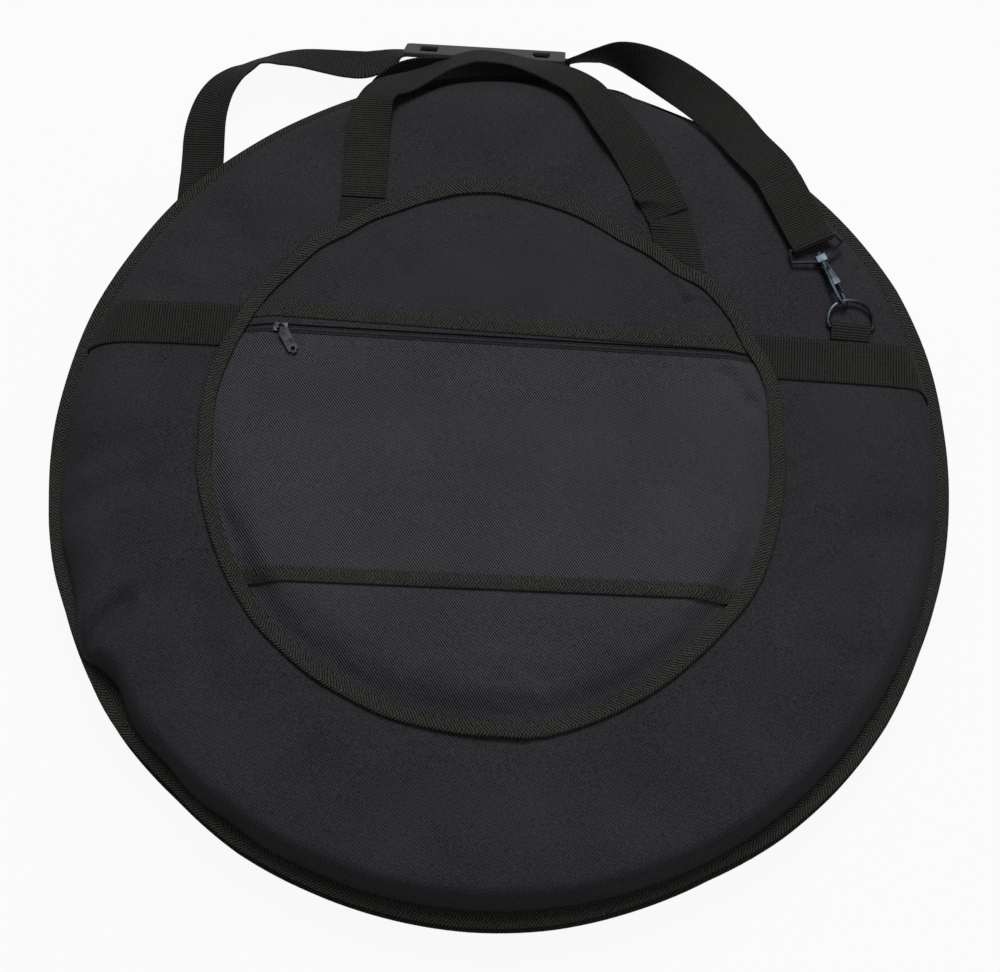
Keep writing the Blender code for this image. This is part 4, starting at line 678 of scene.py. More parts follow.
def makeMainZip():
    # the zip bend gives where the upper tape would leave the lower one, from the end of the zip on; finish
    # only bakes the tape in place
    zipBend = ("back", "front", (0.0, bag["foldY"], bag["top"]),
               (0.0, bag["foldY"] + mainZip["bendLength"], bag["top"]))
    radius, face = mainZip["radius"], mainZip["radius"] + mainZip["tape"]
    for half, node, body, bend in (("lower", "zip_tape_back", "back", None),
                                   ("upper", "zip_tape_front", "front", zipBend)):
        edge, mouth = mainZip[half]
        coil = mouth + (edge - mouth) * 0.5
        section = [(radius, edge), (face, edge), (face, coil)]
        for turned in np.linspace(0.0, math.pi, 7):
            section.append((face + mainZip["coil"] * 0.8 * math.sin(turned),
                            coil + (mouth - coil) * (1 - math.cos(turned)) / 2))
        section.append((radius, mouth))
        strip = turn(half + "ZipTape", section, True, 220, mainZip["from"], mainZip["to"], bag["middle"])
        ringUv(strip, radius, radius, bag["middle"])
        smooth(strip, 50.0)
        finish(strip, zipCloth, [node], body, bend)
    inner, outer = bag["wall"] - bag["thick"], bag["wall"] - 0.0012
    low, high = edgeTape["back"][2], mainZip["upper"][0]
    outline = [(inner, low), (outer, low), (outer + 0.0010, (low + high) / 2), (outer, high), (inner, high)]
    wall = turn("bottomWall", outline, True, 90, mainZip["wallFrom"], mainZip["wallTo"], bag["middle"])
    writeUv(wall, lambda corner, face: (polar(corner - (*bag["middle"], 0.0))[0] * outer, corner[:, 2]))
    smooth(wall, 50.0)
    finish(wall, cloth, ["bottom_gusset"], "back")


makeMainZip()
print("main zip made")


# across the pocket run the zip, the facing over it and the strip; the turns are in degrees
pocket = {"middle": (-0.004, -0.0172), "radius": 0.199, "tapeWidth": 0.0105, "base": 0.0718, "rise": 0.0075,
          "thick": 0.0011, "zipY": 0.0642, "slot": 0.0070, "stripY": -0.1149, "stripTurn": 1.2,
          "boundY": -0.1146, "facingY": 0.0761, "facingTurn": -1.0, "tapeHigh": 0.0756, "sag": 0.0070,
          "pressure": 3.0, "mostSwell": 0.0018, "pinSlope": 0.021}


# the pocket's edge tape isn't a true circle: its outer radius in millimetres by the angle in degrees
pocketReach = (
    (-178, 206), (-173, 206.9), (-164, 204.7), (-157, 204), (-150, 204), (-144, 203.6), (-139, 203.9),
    (-132, 202.2), (-124, 201.8), (-116, 200.6), (-108, 201.4), (-99, 200.7), (-85, 200.9), (-77, 204.9),
    (-70, 203.7), (-66, 203.1), (-59, 202.2), (-52, 202.1), (-44, 201.5), (-35, 202.4), (-29, 204.3),
    (-23, 204.7), (-16, 203.5), (-8, 202.3), (-2, 202.2), (8, 201.9), (17, 205.6), (22, 205.7), (28, 202.5),
    (34, 204.7), (40, 204.2), (44, 203.3), (50, 196.5), (58, 196.3), (65, 194.8), (75, 200), (84, 203.4),
    (93, 209), (101, 209.9), (107, 208.3), (114, 206.9), (120, 208), (126, 206.9), (133, 209.5), (140, 208.1),
    (146, 209.6), (151, 209.6), (156, 209.6), (162, 209.6), (170, 209.6))

# dents in the pocket's cloth: where each starts and ends, how wide it is and how deep
dents = (
    ((0.112, 0.121), (0.124, 0.104), 0.0034, 0.0027), ((0.124, 0.104), (0.142, 0.104), 0.0032, 0.0022),
    ((0.154, 0.05), (0.172, 0.03), 0.0054, 0.0032), ((0.172, 0.03), (0.184, 0.016), 0.005, 0.0022),
    ((-0.06, 0.172), (-0.002, 0.174), 0.005, 0.0012), ((0.02, 0.181), (0.068, 0.16), 0.0035, 0.0012),
    ((0.068, 0.16), (0.125, 0.126), 0.0035, 0.0014), ((-0.19, 0.04), (-0.168, 0.052), 0.005, 0.0009),
    ((-0.186, -0.078), (-0.17, -0.092), 0.006, 0.0015), ((-0.092, 0.128), (-0.074, 0.11), 0.0036, 0.0008),
    ((0.095, -0.15), (0.13, -0.13), 0.006, 0.001), ((-0.14, -0.13), (-0.1, -0.165), 0.0075, 0.0009),
    ((0.15, -0.04), (0.172, -0.07), 0.007, 0.0009), ((-0.02, -0.178), (0.04, -0.176), 0.007, 0.001))


def ringAt(x, y):
    degree = np.degrees(np.arctan2(y - pocket["middle"][1], x - pocket["middle"][0]))
    rows = np.array(pocketReach)
    return np.interp(degree, rows[:, 0], rows[:, 1], period=360.0) / 1000.0


def ringRound(angle):
    return ringAt(pocket["middle"][0] + np.cos(angle), pocket["middle"][1] + np.sin(angle))


def pocketHeight(x, y):
    # the pocket's crowned face over the front panel, without its puckers
    reach = np.hypot(x - pocket["middle"][0], y - pocket["middle"][1])
    # low down the cloth falls steeply to its edge tape, higher up it falls gently
    steep = np.clip((pocket["middle"][1] + 0.02 - y) / 0.10, 0, 1)
    share = rise(ringAt(x, y) - pocket["tapeWidth"] - reach, 0.0, 0.018 + 0.003 * steep)
    soft = (1 - steep) * np.sin(share * np.pi / 2) ** 1.3 + steep * share * share * (3 - 2 * share)
    return pocket["base"] + 0.0004 + (pocket["rise"] - 0.0014 + pocket["sag"] * steep) * soft


def makePocketCloth():
    inner = pocket["radius"] - pocket["tapeWidth"] + 0.0030
    reaches = np.concatenate([np.linspace(0.0, 0.160, 66), np.linspace(0.1620, inner, 16)])
    skin = turn("pocketSkin", [(r, pocket["base"]) for r in reaches], False, 460)
    places = points(skin)
    stretch = ringRound(polar(places)[0]) / pocket["radius"]
    places[:, :2] = places[:, :2] * stretch[:, None] + pocket["middle"]
    x, y = places[:, 0], places[:, 1]
    places[:, 2] = pocketHeight(x, y)
    setPoints(skin, places)
    fromZip, aside = np.abs(y - pocket["zipY"]), x - pocket["middle"][0]
    fromStrip = np.abs(y - pocket["stripY"] - aside * pocket["pinSlope"])
    edge = np.hypot(aside, y - pocket["middle"][1]) > ringAt(x, y) - pocket["tapeWidth"] - 0.001
    aimFaces(skin, 1)
    inflate(skin, edge | (fromZip < 0.010) | (fromStrip < 0.006), pocket["pressure"], pocket["mostSwell"])
    places = points(skin)
    # the cloth is creased, except where the zip and the strips hold it flat
    x, y = places[:, 0], places[:, 1]
    held = np.minimum(np.abs(y - pocket["zipY"] - 0.005), np.abs(y - pocket["stripY"]))
    places[:, 2] -= lowest(x, y, dents) * rise(held, 0.009, 0.004)
    places[:, 2] = np.maximum(places[:, 2], pocket["base"] + 0.0003)
    setPoints(skin, places)
    return skin


def cutAcross(piece, height, angle, keepAbove):
    slope = math.radians(angle)
    editAll(piece, (bpy.ops.mesh.bisect, {
        "plane_co": (pocket["middle"][0], height, 0.0), "plane_no": (-math.sin(slope), math.cos(slope), 0.0),
        "clear_inner": keepAbove, "clear_outer": not keepAbove}))


def makePocketPanels():
    skin = makePocketCloth()
    half, strip, lean = pocket["slot"] / 2, pocket["stripY"], pocket["stripTurn"]
    for name, node, material, cuts in (
            ("pocketUpper", "pocket_upper_panel", upperTwillPaintedShade, [(pocket["zipY"] + half, 0.0, True)]),
            ("pocketMiddle", "pocket_middle_panel", middleTwillPaintedLight,
             [(pocket["zipY"] - half, 0.0, False), (strip + 0.0002, lean, True)]),
            ("pocketLower", "pocket_lower_panel", lowerTwillPaintedShade, [(strip - 0.0002, lean, False)])):
        pick(skin)
        bpy.ops.object.duplicate()
        panel = bpy.context.object
        panel.name = name
        for height, angle, above in cuts:
            cutAcross(panel, height, angle, above)
        if name == "pocketLower":  # it starts lower, under the bound edge of the middle panel
            places = points(panel)
            places[:, 2] -= 0.0014 * (1 - np.clip((strip - places[:, 1]) / 0.022, 0, 1))
            setPoints(panel, places)
        thicken(panel, 1, pocket["thick"], -1.0)
        flatUv(panel)
        smooth(panel, 60.0)
        finish(panel, material, [node], "front")
    pick(skin)
    bpy.ops.object.delete()


def newGrid(name, rows, columns):
    # the grid, with its points' shares: 0 to 1 along it and -0.5 to 0.5 across
    grid = addPiece(name, bpy.ops.mesh.primitive_grid_add, x_subdivisions=rows, y_subdivisions=columns,
                    size=1.0)
    flat = points(grid)
    return grid, flat[:, 0] + 0.5, flat[:, 1]


def layStrip(name, node, middleY, angle, material, slot, width, thick, lift, columns, crown):
    # a strip across the pocket that follows its crowned face and ends under its edge tape
    slope, offset = math.tan(math.radians(angle)), middleY - pocket["middle"][1]
    ends = []
    for side in (-1, 1):
        x = side * 0.18
        for step in range(6):
            ring = ringAt(pocket["middle"][0] + x, pocket["middle"][1] + offset + slope * x)
            x = side * math.sqrt((float(ring) - 0.0085) ** 2 - (offset + slope * x) ** 2)
        ends.append(x)
    strip, along, across = newGrid(name, 120, columns)
    x = pocket["middle"][0] + ends[0] + along * (ends[1] - ends[0])
    y = middleY + (x - pocket["middle"][0]) * slope + across * width
    z = pocketHeight(x, y) + lift + crown * (1 - (2 * across) ** 2)
    setPoints(strip, np.stack([x, y, z], axis=1))

    def uvFor(corner, face):
        aside = (corner[:, 0] - pocket["middle"][0]) * slope
        return corner[:, 1] - middleY - aside + weave["turn"], corner[:, 0]
    writeUv(strip, uvFor)
    thicken(strip, 1, thick, 1.0)
    smooth(strip, 50.0)
    finish(strip, material, [node], "front")


def makePocketTrim():
    # each strip's width, thickness, lift over the cloth, columns and crown
    for name, node, y, lean, material, slot, sizes in (
            ("pocketZipTape", "pocket_zip_tape", "zipY", 0.0, zipCloth, "zip",
             (0.0112, 0.0004, -0.0022, 4, 0.0)),
            ("pocketZipTeeth", "pocket_zip_coil", "zipY", 0.0, zipCloth, "zip",
             (0.0044, 0.0005, -0.0018, 7, 0.0009)),
            ("zipFacing", "pocket_zip_facing", "facingY", pocket["facingTurn"], tape, "tape",
             (0.0110, 0.0007, 0.0003, 5, 0.0004)),
            ("pocketEdgeStrip", "pocket_strip", "boundY", pocket["stripTurn"], tape, "tape",
             (0.0098, 0.0009, 0.0003, 5, 0.0006))):
        layStrip(name, node, pocket[y], lean, material, slot, *sizes)
    outer, base = pocket["radius"], pocket["base"]
    ring = foldedTape("pocketEdgeTape", outer - pocket["tapeWidth"], outer, base, pocket["tapeHigh"], 220)
    places = points(ring)
    angle = polar(places)[0]
    pushOut(places, angle, ringRound(angle) - outer + bumpWave(angle, 31, 0.0004))
    # the tape's ends overlap low down on the right
    degree = np.degrees(angle)
    lap = rise(degree, -96.0, 10.0) * (degree < -79.0)
    places[:, 2] += lap * 0.0013 * (places[:, 2] > pocket["base"] + 0.0012)
    pushOut(places, angle, lap * 0.0011)
    setPoints(ring, places + (*pocket["middle"], 0.0))
    smooth(ring, 50.0)
    finish(ring, tape, ["pocket_binding"], "front")


makePocketPanels()
makePocketTrim()
print("pocket made")


web = {"width": 0.0318, "thick": 0.0014, "tab": 0.0282}

frontHandleRoute = (
    (-0.111, 0.1721, 0.0733, 0, 0, -1), (-0.111, 0.1858, 0.0733, 0, 0, -1), (-0.1115, 0.21, 0.0735, 0, 0, -1),
    (-0.1121, 0.2258, 0.0735, 0, -0.02, -1), (-0.1113, 0.2409, 0.073, 0.2, -0.15, -0.97),
    (-0.1087, 0.2534, 0.0715, 0.33, -0.34, -0.88), (-0.1024, 0.264, 0.0675, 0.2, -0.48, -0.86),
    (-0.0898, 0.2722, 0.063, 0.13, -0.55, -0.82), (-0.0766, 0.2815, 0.059, 0.24, -0.63, -0.74),
    (-0.065, 0.2899, 0.056, 0.31, -0.66, -0.68), (-0.0535, 0.2969, 0.0545, 0.28, -0.67, -0.69),
    (-0.0393, 0.3024, 0.054, 0.12, -0.71, -0.7), (-0.0232, 0.3026, 0.054, -0.05, -0.72, -0.7),
    (-0.0062, 0.2993, 0.055, -0.12, -0.72, -0.68), (0.0113, 0.2933, 0.058, -0.11, -0.65, -0.75),
    (0.0273, 0.2857, 0.0625, -0.1, -0.54, -0.84), (0.0433, 0.274, 0.068, -0.16, -0.46, -0.88),
    (0.0539, 0.2603, 0.0712, -0.2, -0.33, -0.92), (0.0644, 0.2456, 0.073, -0.14, -0.17, -0.98),
    (0.0788, 0.2264, 0.0737, -0.05, -0.04, -1), (0.0918, 0.2042, 0.0737, 0, 0, -1),
    (0.1008, 0.1885, 0.0735, 0, 0, -1), (0.1092, 0.1716, 0.0733, 0, 0, -1))
backHandleRoute = (
    (-0.111, 0.1631, 0.0015, 0, 0, 1), (-0.111, 0.1772, 0.0015, 0, 0, 1), (-0.111, 0.2266, 0.0037, 0, 0, 1),
    (-0.111, 0.2632, 0.0069, 0, -0.1, 1), (-0.1094, 0.2787, 0.0099, 0.1, -0.3, 0.95),
    (-0.1043, 0.2896, 0.0153, 0.3, -0.62, 0.72), (-0.0938, 0.2975, 0.024, 0.3, -0.87, 0.38),
    (-0.0788, 0.3015, 0.03, 0.2, -0.97, 0.15), (-0.0577, 0.3037, 0.0315, 0.08, -1, 0.02),
    (-0.0244, 0.3041, 0.03, 0, -1, 0), (0.0056, 0.3041, 0.0277, 0, -1, 0),
    (0.028, 0.302, 0.024, -0.03, -1, -0.15), (0.048, 0.2985, 0.019, -0.08, -0.92, -0.3),
    (0.064, 0.29, 0.014, -0.14, -0.8, 0.3), (0.08, 0.28, 0.0098, -0.15, -0.45, 0.85),
    (0.094, 0.276, 0.0088, -0.15, -0.3, 0.93), (0.104, 0.27, 0.008, -0.1, -0.18, 0.97),
    (0.11, 0.26, 0.0066, -0.04, -0.1, 1), (0.111, 0.2266, 0.0037, 0, 0, 1), (0.111, 0.1772, 0.0015, 0, 0, 1),
    (0.111, 0.1631, 0.0015, 0, 0, 1))
rightStrapRoute = (
    (0.1893, 0.2006, 0.0764, 0, 0, -1), (0.1815, 0.213, 0.0762, 0, 0, -1),
    (0.165, 0.2316, 0.073, 0, 0.03, -1), (0.1497, 0.2515, 0.0692, 0.1, 0.1, -0.98),
    (0.1306, 0.2708, 0.0652, 0.25, 0.22, -0.94), (0.1103, 0.2878, 0.0605, 0.42, 0.38, -0.82),
    (0.0903, 0.3022, 0.054, 0.54, 0.63, -0.55), (0.0737, 0.3113, 0.047, 0.47, 0.84, -0.27),
    (0.0595, 0.3155, 0.0395, 0.21, 0.97, 0.1), (0.0472, 0.3186, 0.031, 0, 0.94, 0.34),
    (0.0395, 0.3205, 0.0238, 0, 0.86, 0.5), (0.0345, 0.3212, 0.02, 0, 0.8, 0.6),
    (0.0332, 0.3212, 0.0196, 0, 0.79, 0.62))
leftStrapRoute = (
    (0.032, 0.3212, 0.0196, 0, 0.79, 0.62), (-0.0027, 0.3212, 0.0196, 0, 0.79, 0.62),
    (-0.0642, 0.3212, 0.0196, 0, 0.79, 0.62), (-0.096, 0.3212, 0.0196, 0, 0.79, 0.62),
    (-0.11, 0.315, 0.0196, -0.05, 0.57, 0.82), (-0.1235, 0.3095, 0.0198, -0.04, 0.38, 0.92),
    (-0.1374, 0.3092, 0.0195, 0, 0.38, 0.92), (-0.1522, 0.3107, 0.019, 0.02, 0.46, 0.89),
    (-0.1727, 0.3125, 0.0185, -0.01, 0.59, 0.81), (-0.1896, 0.3114, 0.018, -0.09, 0.7, 0.71),
    (-0.1991, 0.3099, 0.0178, -0.19, 0.77, 0.61), (-0.2069, 0.3076, 0.0175, -0.34, 0.74, 0.58),
    (-0.2152, 0.3018, 0.0172, -0.45, 0.6, 0.66), (-0.2241, 0.2956, 0.0168, -0.47, 0.43, 0.77),
    (-0.2326, 0.2859, 0.0155, -0.47, 0.18, 0.87), (-0.2383, 0.2741, 0.0135, -0.39, 0, 0.92),
    (-0.2415, 0.2598, 0.0112, -0.25, 0, 0.97), (-0.2424, 0.2454, 0.0085, -0.08, 0, 0.99),
    (-0.242, 0.2308, 0.006, 0, 0, 1), (-0.2415, 0.2148, 0.0058, 0, 0, 1))
frontTabRoute = (
    (0.2415, 0.0829, 0.0727, -0.09, 0, -1), (0.2415, 0.0865, 0.0729, -0.09, 0, -1),
    (0.2417, 0.0923, 0.0755, -0.09, 0, -1), (0.2417, 0.0933, 0.0753, -0.09, -0.38, -0.92),
    (0.2417, 0.0941, 0.0747, -0.07, -0.71, -0.7), (0.2416, 0.0946, 0.0739, -0.04, -0.92, -0.38),
    (0.2415, 0.0948, 0.073, 0, -1, 0), (0.2414, 0.0946, 0.072, 0.04, -0.92, 0.38),
    (0.2413, 0.0941, 0.0712, 0.07, -0.71, 0.7), (0.2413, 0.0933, 0.0707, 0.09, -0.38, 0.92),
    (0.2413, 0.0923, 0.0705, 0.09, 0, 1), (0.2413, 0.0865, 0.0708, 0.09, 0, 1),
    (0.2413, 0.0829, 0.0708, 0.09, 0, 1))
backTabRoute = (
    (-0.2414, 0.0829, 0.0062, 0.17, 0, 0.99), (-0.2415, 0.0865, 0.006, 0.17, 0, 0.99),
    (-0.2419, 0.0923, 0.0035, 0.17, 0, 0.99), (-0.2419, 0.0933, 0.0037, 0.16, -0.38, 0.91),
    (-0.2418, 0.0941, 0.0042, 0.12, -0.71, 0.7), (-0.2417, 0.0946, 0.005, 0.07, -0.92, 0.38),
    (-0.2415, 0.0948, 0.0059, 0, -1, 0), (-0.2413, 0.0946, 0.0069, -0.07, -0.92, -0.38),
    (-0.2412, 0.0941, 0.0077, -0.12, -0.71, -0.7), (-0.2411, 0.0933, 0.0082, -0.16, -0.38, -0.91),
    (-0.2411, 0.0923, 0.0084, -0.17, 0, -0.99), (-0.2411, 0.0865, 0.0081, -0.17, 0, -0.99),
    (-0.2411, 0.0829, 0.0081, -0.17, 0, -0.99))
frontFoldRoute = (
    (0.1887, 0.2017, 0.0769, 0, 0, -1), (0.2007, 0.1787, 0.0769, 0, 0, -1), (0.2091, 0.1625, 0.077, 0, 0, -1),
    (0.2127, 0.1556, 0.0785, 0, 0, -1), (0.2132, 0.1547, 0.0783, -0.18, 0.34, -0.92),
    (0.2136, 0.154, 0.0778, -0.33, 0.63, -0.71), (0.2138, 0.1535, 0.0769, -0.43, 0.82, -0.38),
    (0.2139, 0.1533, 0.0759, -0.46, 0.89, 0), (0.2138, 0.1535, 0.0749, -0.43, 0.82, 0.38),
    (0.2136, 0.154, 0.0741, -0.33, 0.63, 0.71), (0.2132, 0.1547, 0.0735, -0.18, 0.34, 0.92),
    (0.2127, 0.1556, 0.0733, 0, 0, 1), (0.2091, 0.1625, 0.0749, 0, 0, 1), (0.2007, 0.1787, 0.075, 0, 0, 1),
    (0.1887, 0.2017, 0.075, 0, 0, 1))
backFoldRoute = (
    (-0.2415, 0.2142, 0.0048, 0, 0, 1), (-0.2415, 0.1882, 0.0048, 0, 0, 1), (-0.2415, 0.17, 0.0047, 0, 0, 1),
    (-0.2415, 0.1622, 0.0032, 0, 0, 1), (-0.2415, 0.1612, 0.0033, 0, 0.38, 0.92),
    (-0.2415, 0.1604, 0.0039, 0, 0.71, 0.71), (-0.2415, 0.1598, 0.0048, 0, 0.92, 0.38),
    (-0.2415, 0.1596, 0.0058, 0, 1, 0), (-0.2415, 0.1598, 0.0067, 0, 0.92, -0.38),
    (-0.2415, 0.1604, 0.0076, 0, 0.71, -0.71), (-0.2415, 0.1612, 0.0082, 0, 0.38, -0.92),
    (-0.2415, 0.1622, 0.0084, 0, 0, -1), (-0.2415, 0.17, 0.0068, 0, 0, -1),
    (-0.2415, 0.1882, 0.0067, 0, 0, -1), (-0.2415, 0.2142, 0.0067, 0, 0, -1))


def ruckLeg(places, share):
    # the handle's right leg is rucked up on its inner side, just above its stitching
    x, y = places[:, 0], places[:, 1]
    near = np.clip(1.25 - 1.5 * (0.5 + share), 0, 1) * (x > 0.05) * (y < 0.20)
    places[:, 2] += 0.0048 * bell(y, 0.1815, 0.0036) * near
    places[:, 1] -= 0.0040 * bell(y, 0.1850, 0.0050) * near


def makeWeb(name, node, route, body, count=0, width=web["width"], bend=None):
    # a flat strap along a route; each row has a place and the way its inner face looks
    rows = curveThrough(route, count) if count else np.array(route, dtype=float)
    run = runAlong(rows[:, :3])
    tangent = np.gradient(rows[:, :3], run, axis=0)
    tangent[0] = np.array(route[1][:3]) - np.array(route[0][:3])
    tangent[-1] = np.array(route[-1][:3]) - np.array(route[-2][:3])
    tangent /= np.linalg.norm(tangent, axis=1, keepdims=True)
    across = np.cross(rows[:, 3:], tangent)
    across /= np.linalg.norm(across, axis=1, keepdims=True)
    strap, along, share = newGrid(name, len(rows) - 1, 6)
    row = np.round(along * (len(rows) - 1)).astype(int)
    places = rows[row, :3] + across[row] * (share * width)[:, None]
    if name == "frontHandle":
        ruckLeg(places, share * np.sign(across[row][:, 0]))
    corner = pointOfCorner(strap.data)
    writeUv(strap, lambda spot, face: ((share * width)[corner], run[row][corner]))
    setPoints(strap, places)
    addModifier(strap, "SOLIDIFY", thickness=web["thick"], offset=0.0, use_even_offset=True)
    bevel(strap, 0.0004, 2, 60.0)
    editAll(strap, (bpy.ops.mesh.normals_make_consistent, {"inside": False}))
    smooth(strap, 40.0)
    finish(strap, webbing, [node], body, bend)


def makeStraps():
    # the two bends give where the strap's ends would start to follow their clips and where they would follow
    # fully; finish only takes a given bend as a sign to bake the piece in place
    makeWeb("frontHandle", "front_handle", frontHandleRoute, "front_grip", 300)
    makeWeb("backHandle", "back_handle", backHandleRoute, "back_grip", 150)
    makeWeb("strapRight", "strap_right", rightStrapRoute, "front", 100,
            bend=("front", "front_clip", (0.1306, 0.2708, 0.0652), (0.1893, 0.2006, 0.0764)))
    makeWeb("strapLeft", "strap_left", leftStrapRoute, "back", 160,
            bend=("back", "back_clip", (-0.2415, 0.2900, 0.0150), (-0.2415, 0.2148, 0.0058)))
    makeWeb("frontRingTab", "front_ring_tab", frontTabRoute, "front", width=web["tab"])
    makeWeb("backRingTab", "back_ring_tab", backTabRoute, "back", width=web["tab"])
    makeWeb("frontStrapFold", "front_strap_end", frontFoldRoute, "front_clip")
    makeWeb("backStrapFold", "back_strap_end", backFoldRoute, "back_clip")


makeStraps()
print("straps made")


# the handles' ends are set 0.111 m from the middle; the others run between these two places in y
bands = {"y": 0.0663, "width": 0.0318, "thick": 0.0014, "lift": 0.0004, "backLength": 0.5636,
         "handleX": 0.111, "backEnd": (0.1229, 0.1624)}


def treeOf(obj):
    mesh = obj.data
    return BVHTree.FromPolygons([v.co[:] for v in mesh.vertices], [p.vertices[:] for p in mesh.polygons])


def layWeb(name, node, rows, columns, placeFor, axis, body, up):
    # placeFor turns the grid's two shares into places; ribs run across the web, so v follows its length
    strip, along, across = newGrid(name, rows, columns)
    setPoints(strip, placeFor(along, across))
    writeUv(strip, lambda corner, face: (corner[:, 1 - axis], corner[:, axis]))
    thicken(strip, up, bands["thick"], 0.0)
    bevel(strip, 0.00035, 2, 60.0)
    smooth(strip, 40.0)
    finish(strip, webbing, [node], body)


def makeFrontBands():
    outline = np.array(frontOutline())
    run = runAlong(outline)
    cover = treeOf(frontCover)
    lift = bands["thick"] / 2 + bands["lift"]
    probe = {"ahead": 0.0015, "above": 0.006, "reach": 0.012}
    for name, node, side in (("frontBandLeft", "front_band_left", -1),
                             ("frontBandRight", "front_band_right", 1)):
        def placeFor(along, across):
            y = bands["y"] + across * bands["width"]
            fromMiddle = y - bag["middle"][1]
            # the band starts under the pocket's edge tape and follows the outline from there
            ring = ringAt(pocket["middle"][0] + side * 0.18, y) - 0.005
            chord = np.sqrt(ring ** 2 - (y - pocket["middle"][1]) ** 2)
            start = np.hypot(chord + side * pocket["middle"][0], fromMiddle)
            here = start + (run[-1] - 0.0006 - start) * along
            radius, height = readAt(here, run, outline).T
            slope = readAt(here + probe["ahead"], run, outline) - readAt(here - probe["ahead"], run, outline)
            ahead, fall = (slope / np.hypot(*slope.T)[:, None]).T
            x = side * np.sqrt(np.maximum(radius ** 2 - fromMiddle ** 2, 0.0))
            places = np.stack([x, y, height], axis=1)
            normal = np.stack([-fall * x / radius, -fall * fromMiddle / radius, ahead], axis=1)
            for index in range(len(places)):
                above = Vector(places[index] + normal[index] * probe["above"])
                hit = cover.ray_cast(above, Vector(-normal[index]), probe["reach"])[0]
                base = np.array(hit) if hit else places[index]
                places[index] = base + normal[index] * lift
            return places
        layWeb(name, node, 90, 6, placeFor, 0, "front", 1)


def onBack(x, y):
    outline = np.array(backOutline())
    height = np.interp(np.hypot(x, y - bag["middle"][1]), outline[:, 0], outline[:, 1])
    return np.stack([x, y, height + bands["thick"] / 2], axis=1)


def makeBackWebs():
    def bandPlaces(along, across):
        return onBack((along - 0.5) * bands["backLength"], bands["y"] + across * bands["width"])

    layWeb("backBand", "back_band", 120, 6, bandPlaces, 0, "back", -1)
    start, end = bands["backEnd"]
    for name, node, side in (("backHandleEndLeft", "back_handle_end_left", -1),
                             ("backHandleEndRight", "back_handle_end_right", 1)):
        def endPlaces(along, across):
            return onBack(side * bands["handleX"] + across * bands["width"], start + along * (end - start))
        layWeb(name, node, 16, 6, endPlaces, 1, "back", -1)


def makeFrontHandleEnds():
    level = bag["top"] + bands["thick"] / 2 + 0.0006
    for name, node, side in (("frontHandleEndLeft", "front_handle_end_left", -1),
                             ("frontHandleEndRight", "front_handle_end_right", 1)):
        def endPlaces(along, across):
            x = side * bands["handleX"] + across * bands["width"]
            ring = ringAt(x, np.full_like(x, 0.155)) - 0.005
            chord = np.sqrt(ring ** 2 - (x - pocket["middle"][0]) ** 2)
            low = np.minimum(pocket["middle"][1] + chord, 0.1690)
            high = 0.1790 if side > 0 else 0.1714
            y = low + along * (high - low)
            z = level - 0.0017 * rise(y, 0.1690, 0.004)
            if side > 0:  # this leg comes in aslant, and is rucked up where it leaves its stitching
                x += 0.30 * (0.1714 - y) - 0.0018
                z += 0.0024 * bell(y, 0.1630, 0.0032) * np.clip(1.1 - 1.5 * (across + 0.5), 0, 1)
            return np.stack([x, y, z], axis=1)
        layWeb(name, node, 24, 12, endPlaces, 1, "front", 1)


makeFrontBands()
makeBackWebs()
makeFrontHandleEnds()
print("bands made")


# opening is the room between the posts that guide the web, cut the windows' own width
pad = {"place": (-0.0335, 0.3220, 0.0203), "tilt": 52.0, "length": 0.123, "width": 0.050, "thick": 0.0034,
       "corner": 0.0035, "window": 0.013, "windowInset": 0.012, "cut": 0.0262,
       "opening": 0.0310, "bridge": 0.0104, "post": 0.0012, "postHeight": 0.0056, "bar": 0.0015}


def padPlaces(local):
    tilt = math.radians(pad["tilt"])
    down, out = (0.0, math.cos(tilt), -math.sin(tilt)), (0.0, math.sin(tilt), math.cos(tilt))
    return np.array(pad["place"]) + local @ np.array([(1.0, 0.0, 0.0), down, out])


def addBlock(name, place, size):
    block = addPiece(name, bpy.ops.mesh.primitive_cube_add, size=1.0, location=place, scale=size)
    bakePlace(block)
    return block


def makePlate(windowIn, windowOut):
    # a plate with two windows and rounded outer corners
    half = np.array((pad["length"], pad["width"])) / 2
    edges = (-half[0], -windowOut, -windowIn, windowIn, windowOut, half[0])
    xs = np.concatenate([np.linspace(a, b, max(3, int((b - a) / 0.003) + 1))[:-1]
                         for a, b in zip(edges, edges[1:])] + [[half[0]]])
    edges = (-half[1], -pad["cut"] / 2, pad["cut"] / 2, half[1])
    ys = np.concatenate([np.linspace(a, b, 5 if b - a < 0.02 else 13)[:-1]
                         for a, b in zip(edges, edges[1:])] + [[half[1]]])
    plate, along, across = newGrid("shoulderPad", len(xs) - 1, len(ys) - 1)
    x = xs[np.round(along * (len(xs) - 1)).astype(int)]
    y = ys[np.round((across + 0.5) * (len(ys) - 1)).astype(int)]
    setPoints(plate, np.stack([x, y, np.zeros_like(x)], axis=1))
    editSome(plate, "FACE", lambda face: windowIn < abs(face.center[0]) < windowOut
             and abs(face.center[1]) < pad["cut"] / 2, bpy.ops.mesh.delete, type="FACE")
    places = points(plate)
    past = np.abs(places[:, :2]) - (half - pad["corner"])
    corner = (past > 0).all(axis=1)[:, None]
    share = past.max(axis=1) / np.maximum(np.hypot(*past.T), 1e-9)
    rounded = np.sign(places[:, :2]) * (half - pad["corner"] + past * share[:, None])
    places[:, :2] = np.where(corner, rounded, places[:, :2])
    setPoints(plate, places)
    thicken(plate, 1, pad["thick"], 1.0)
    bevel(plate, 0.0007, 3, 50.0)
    return plate


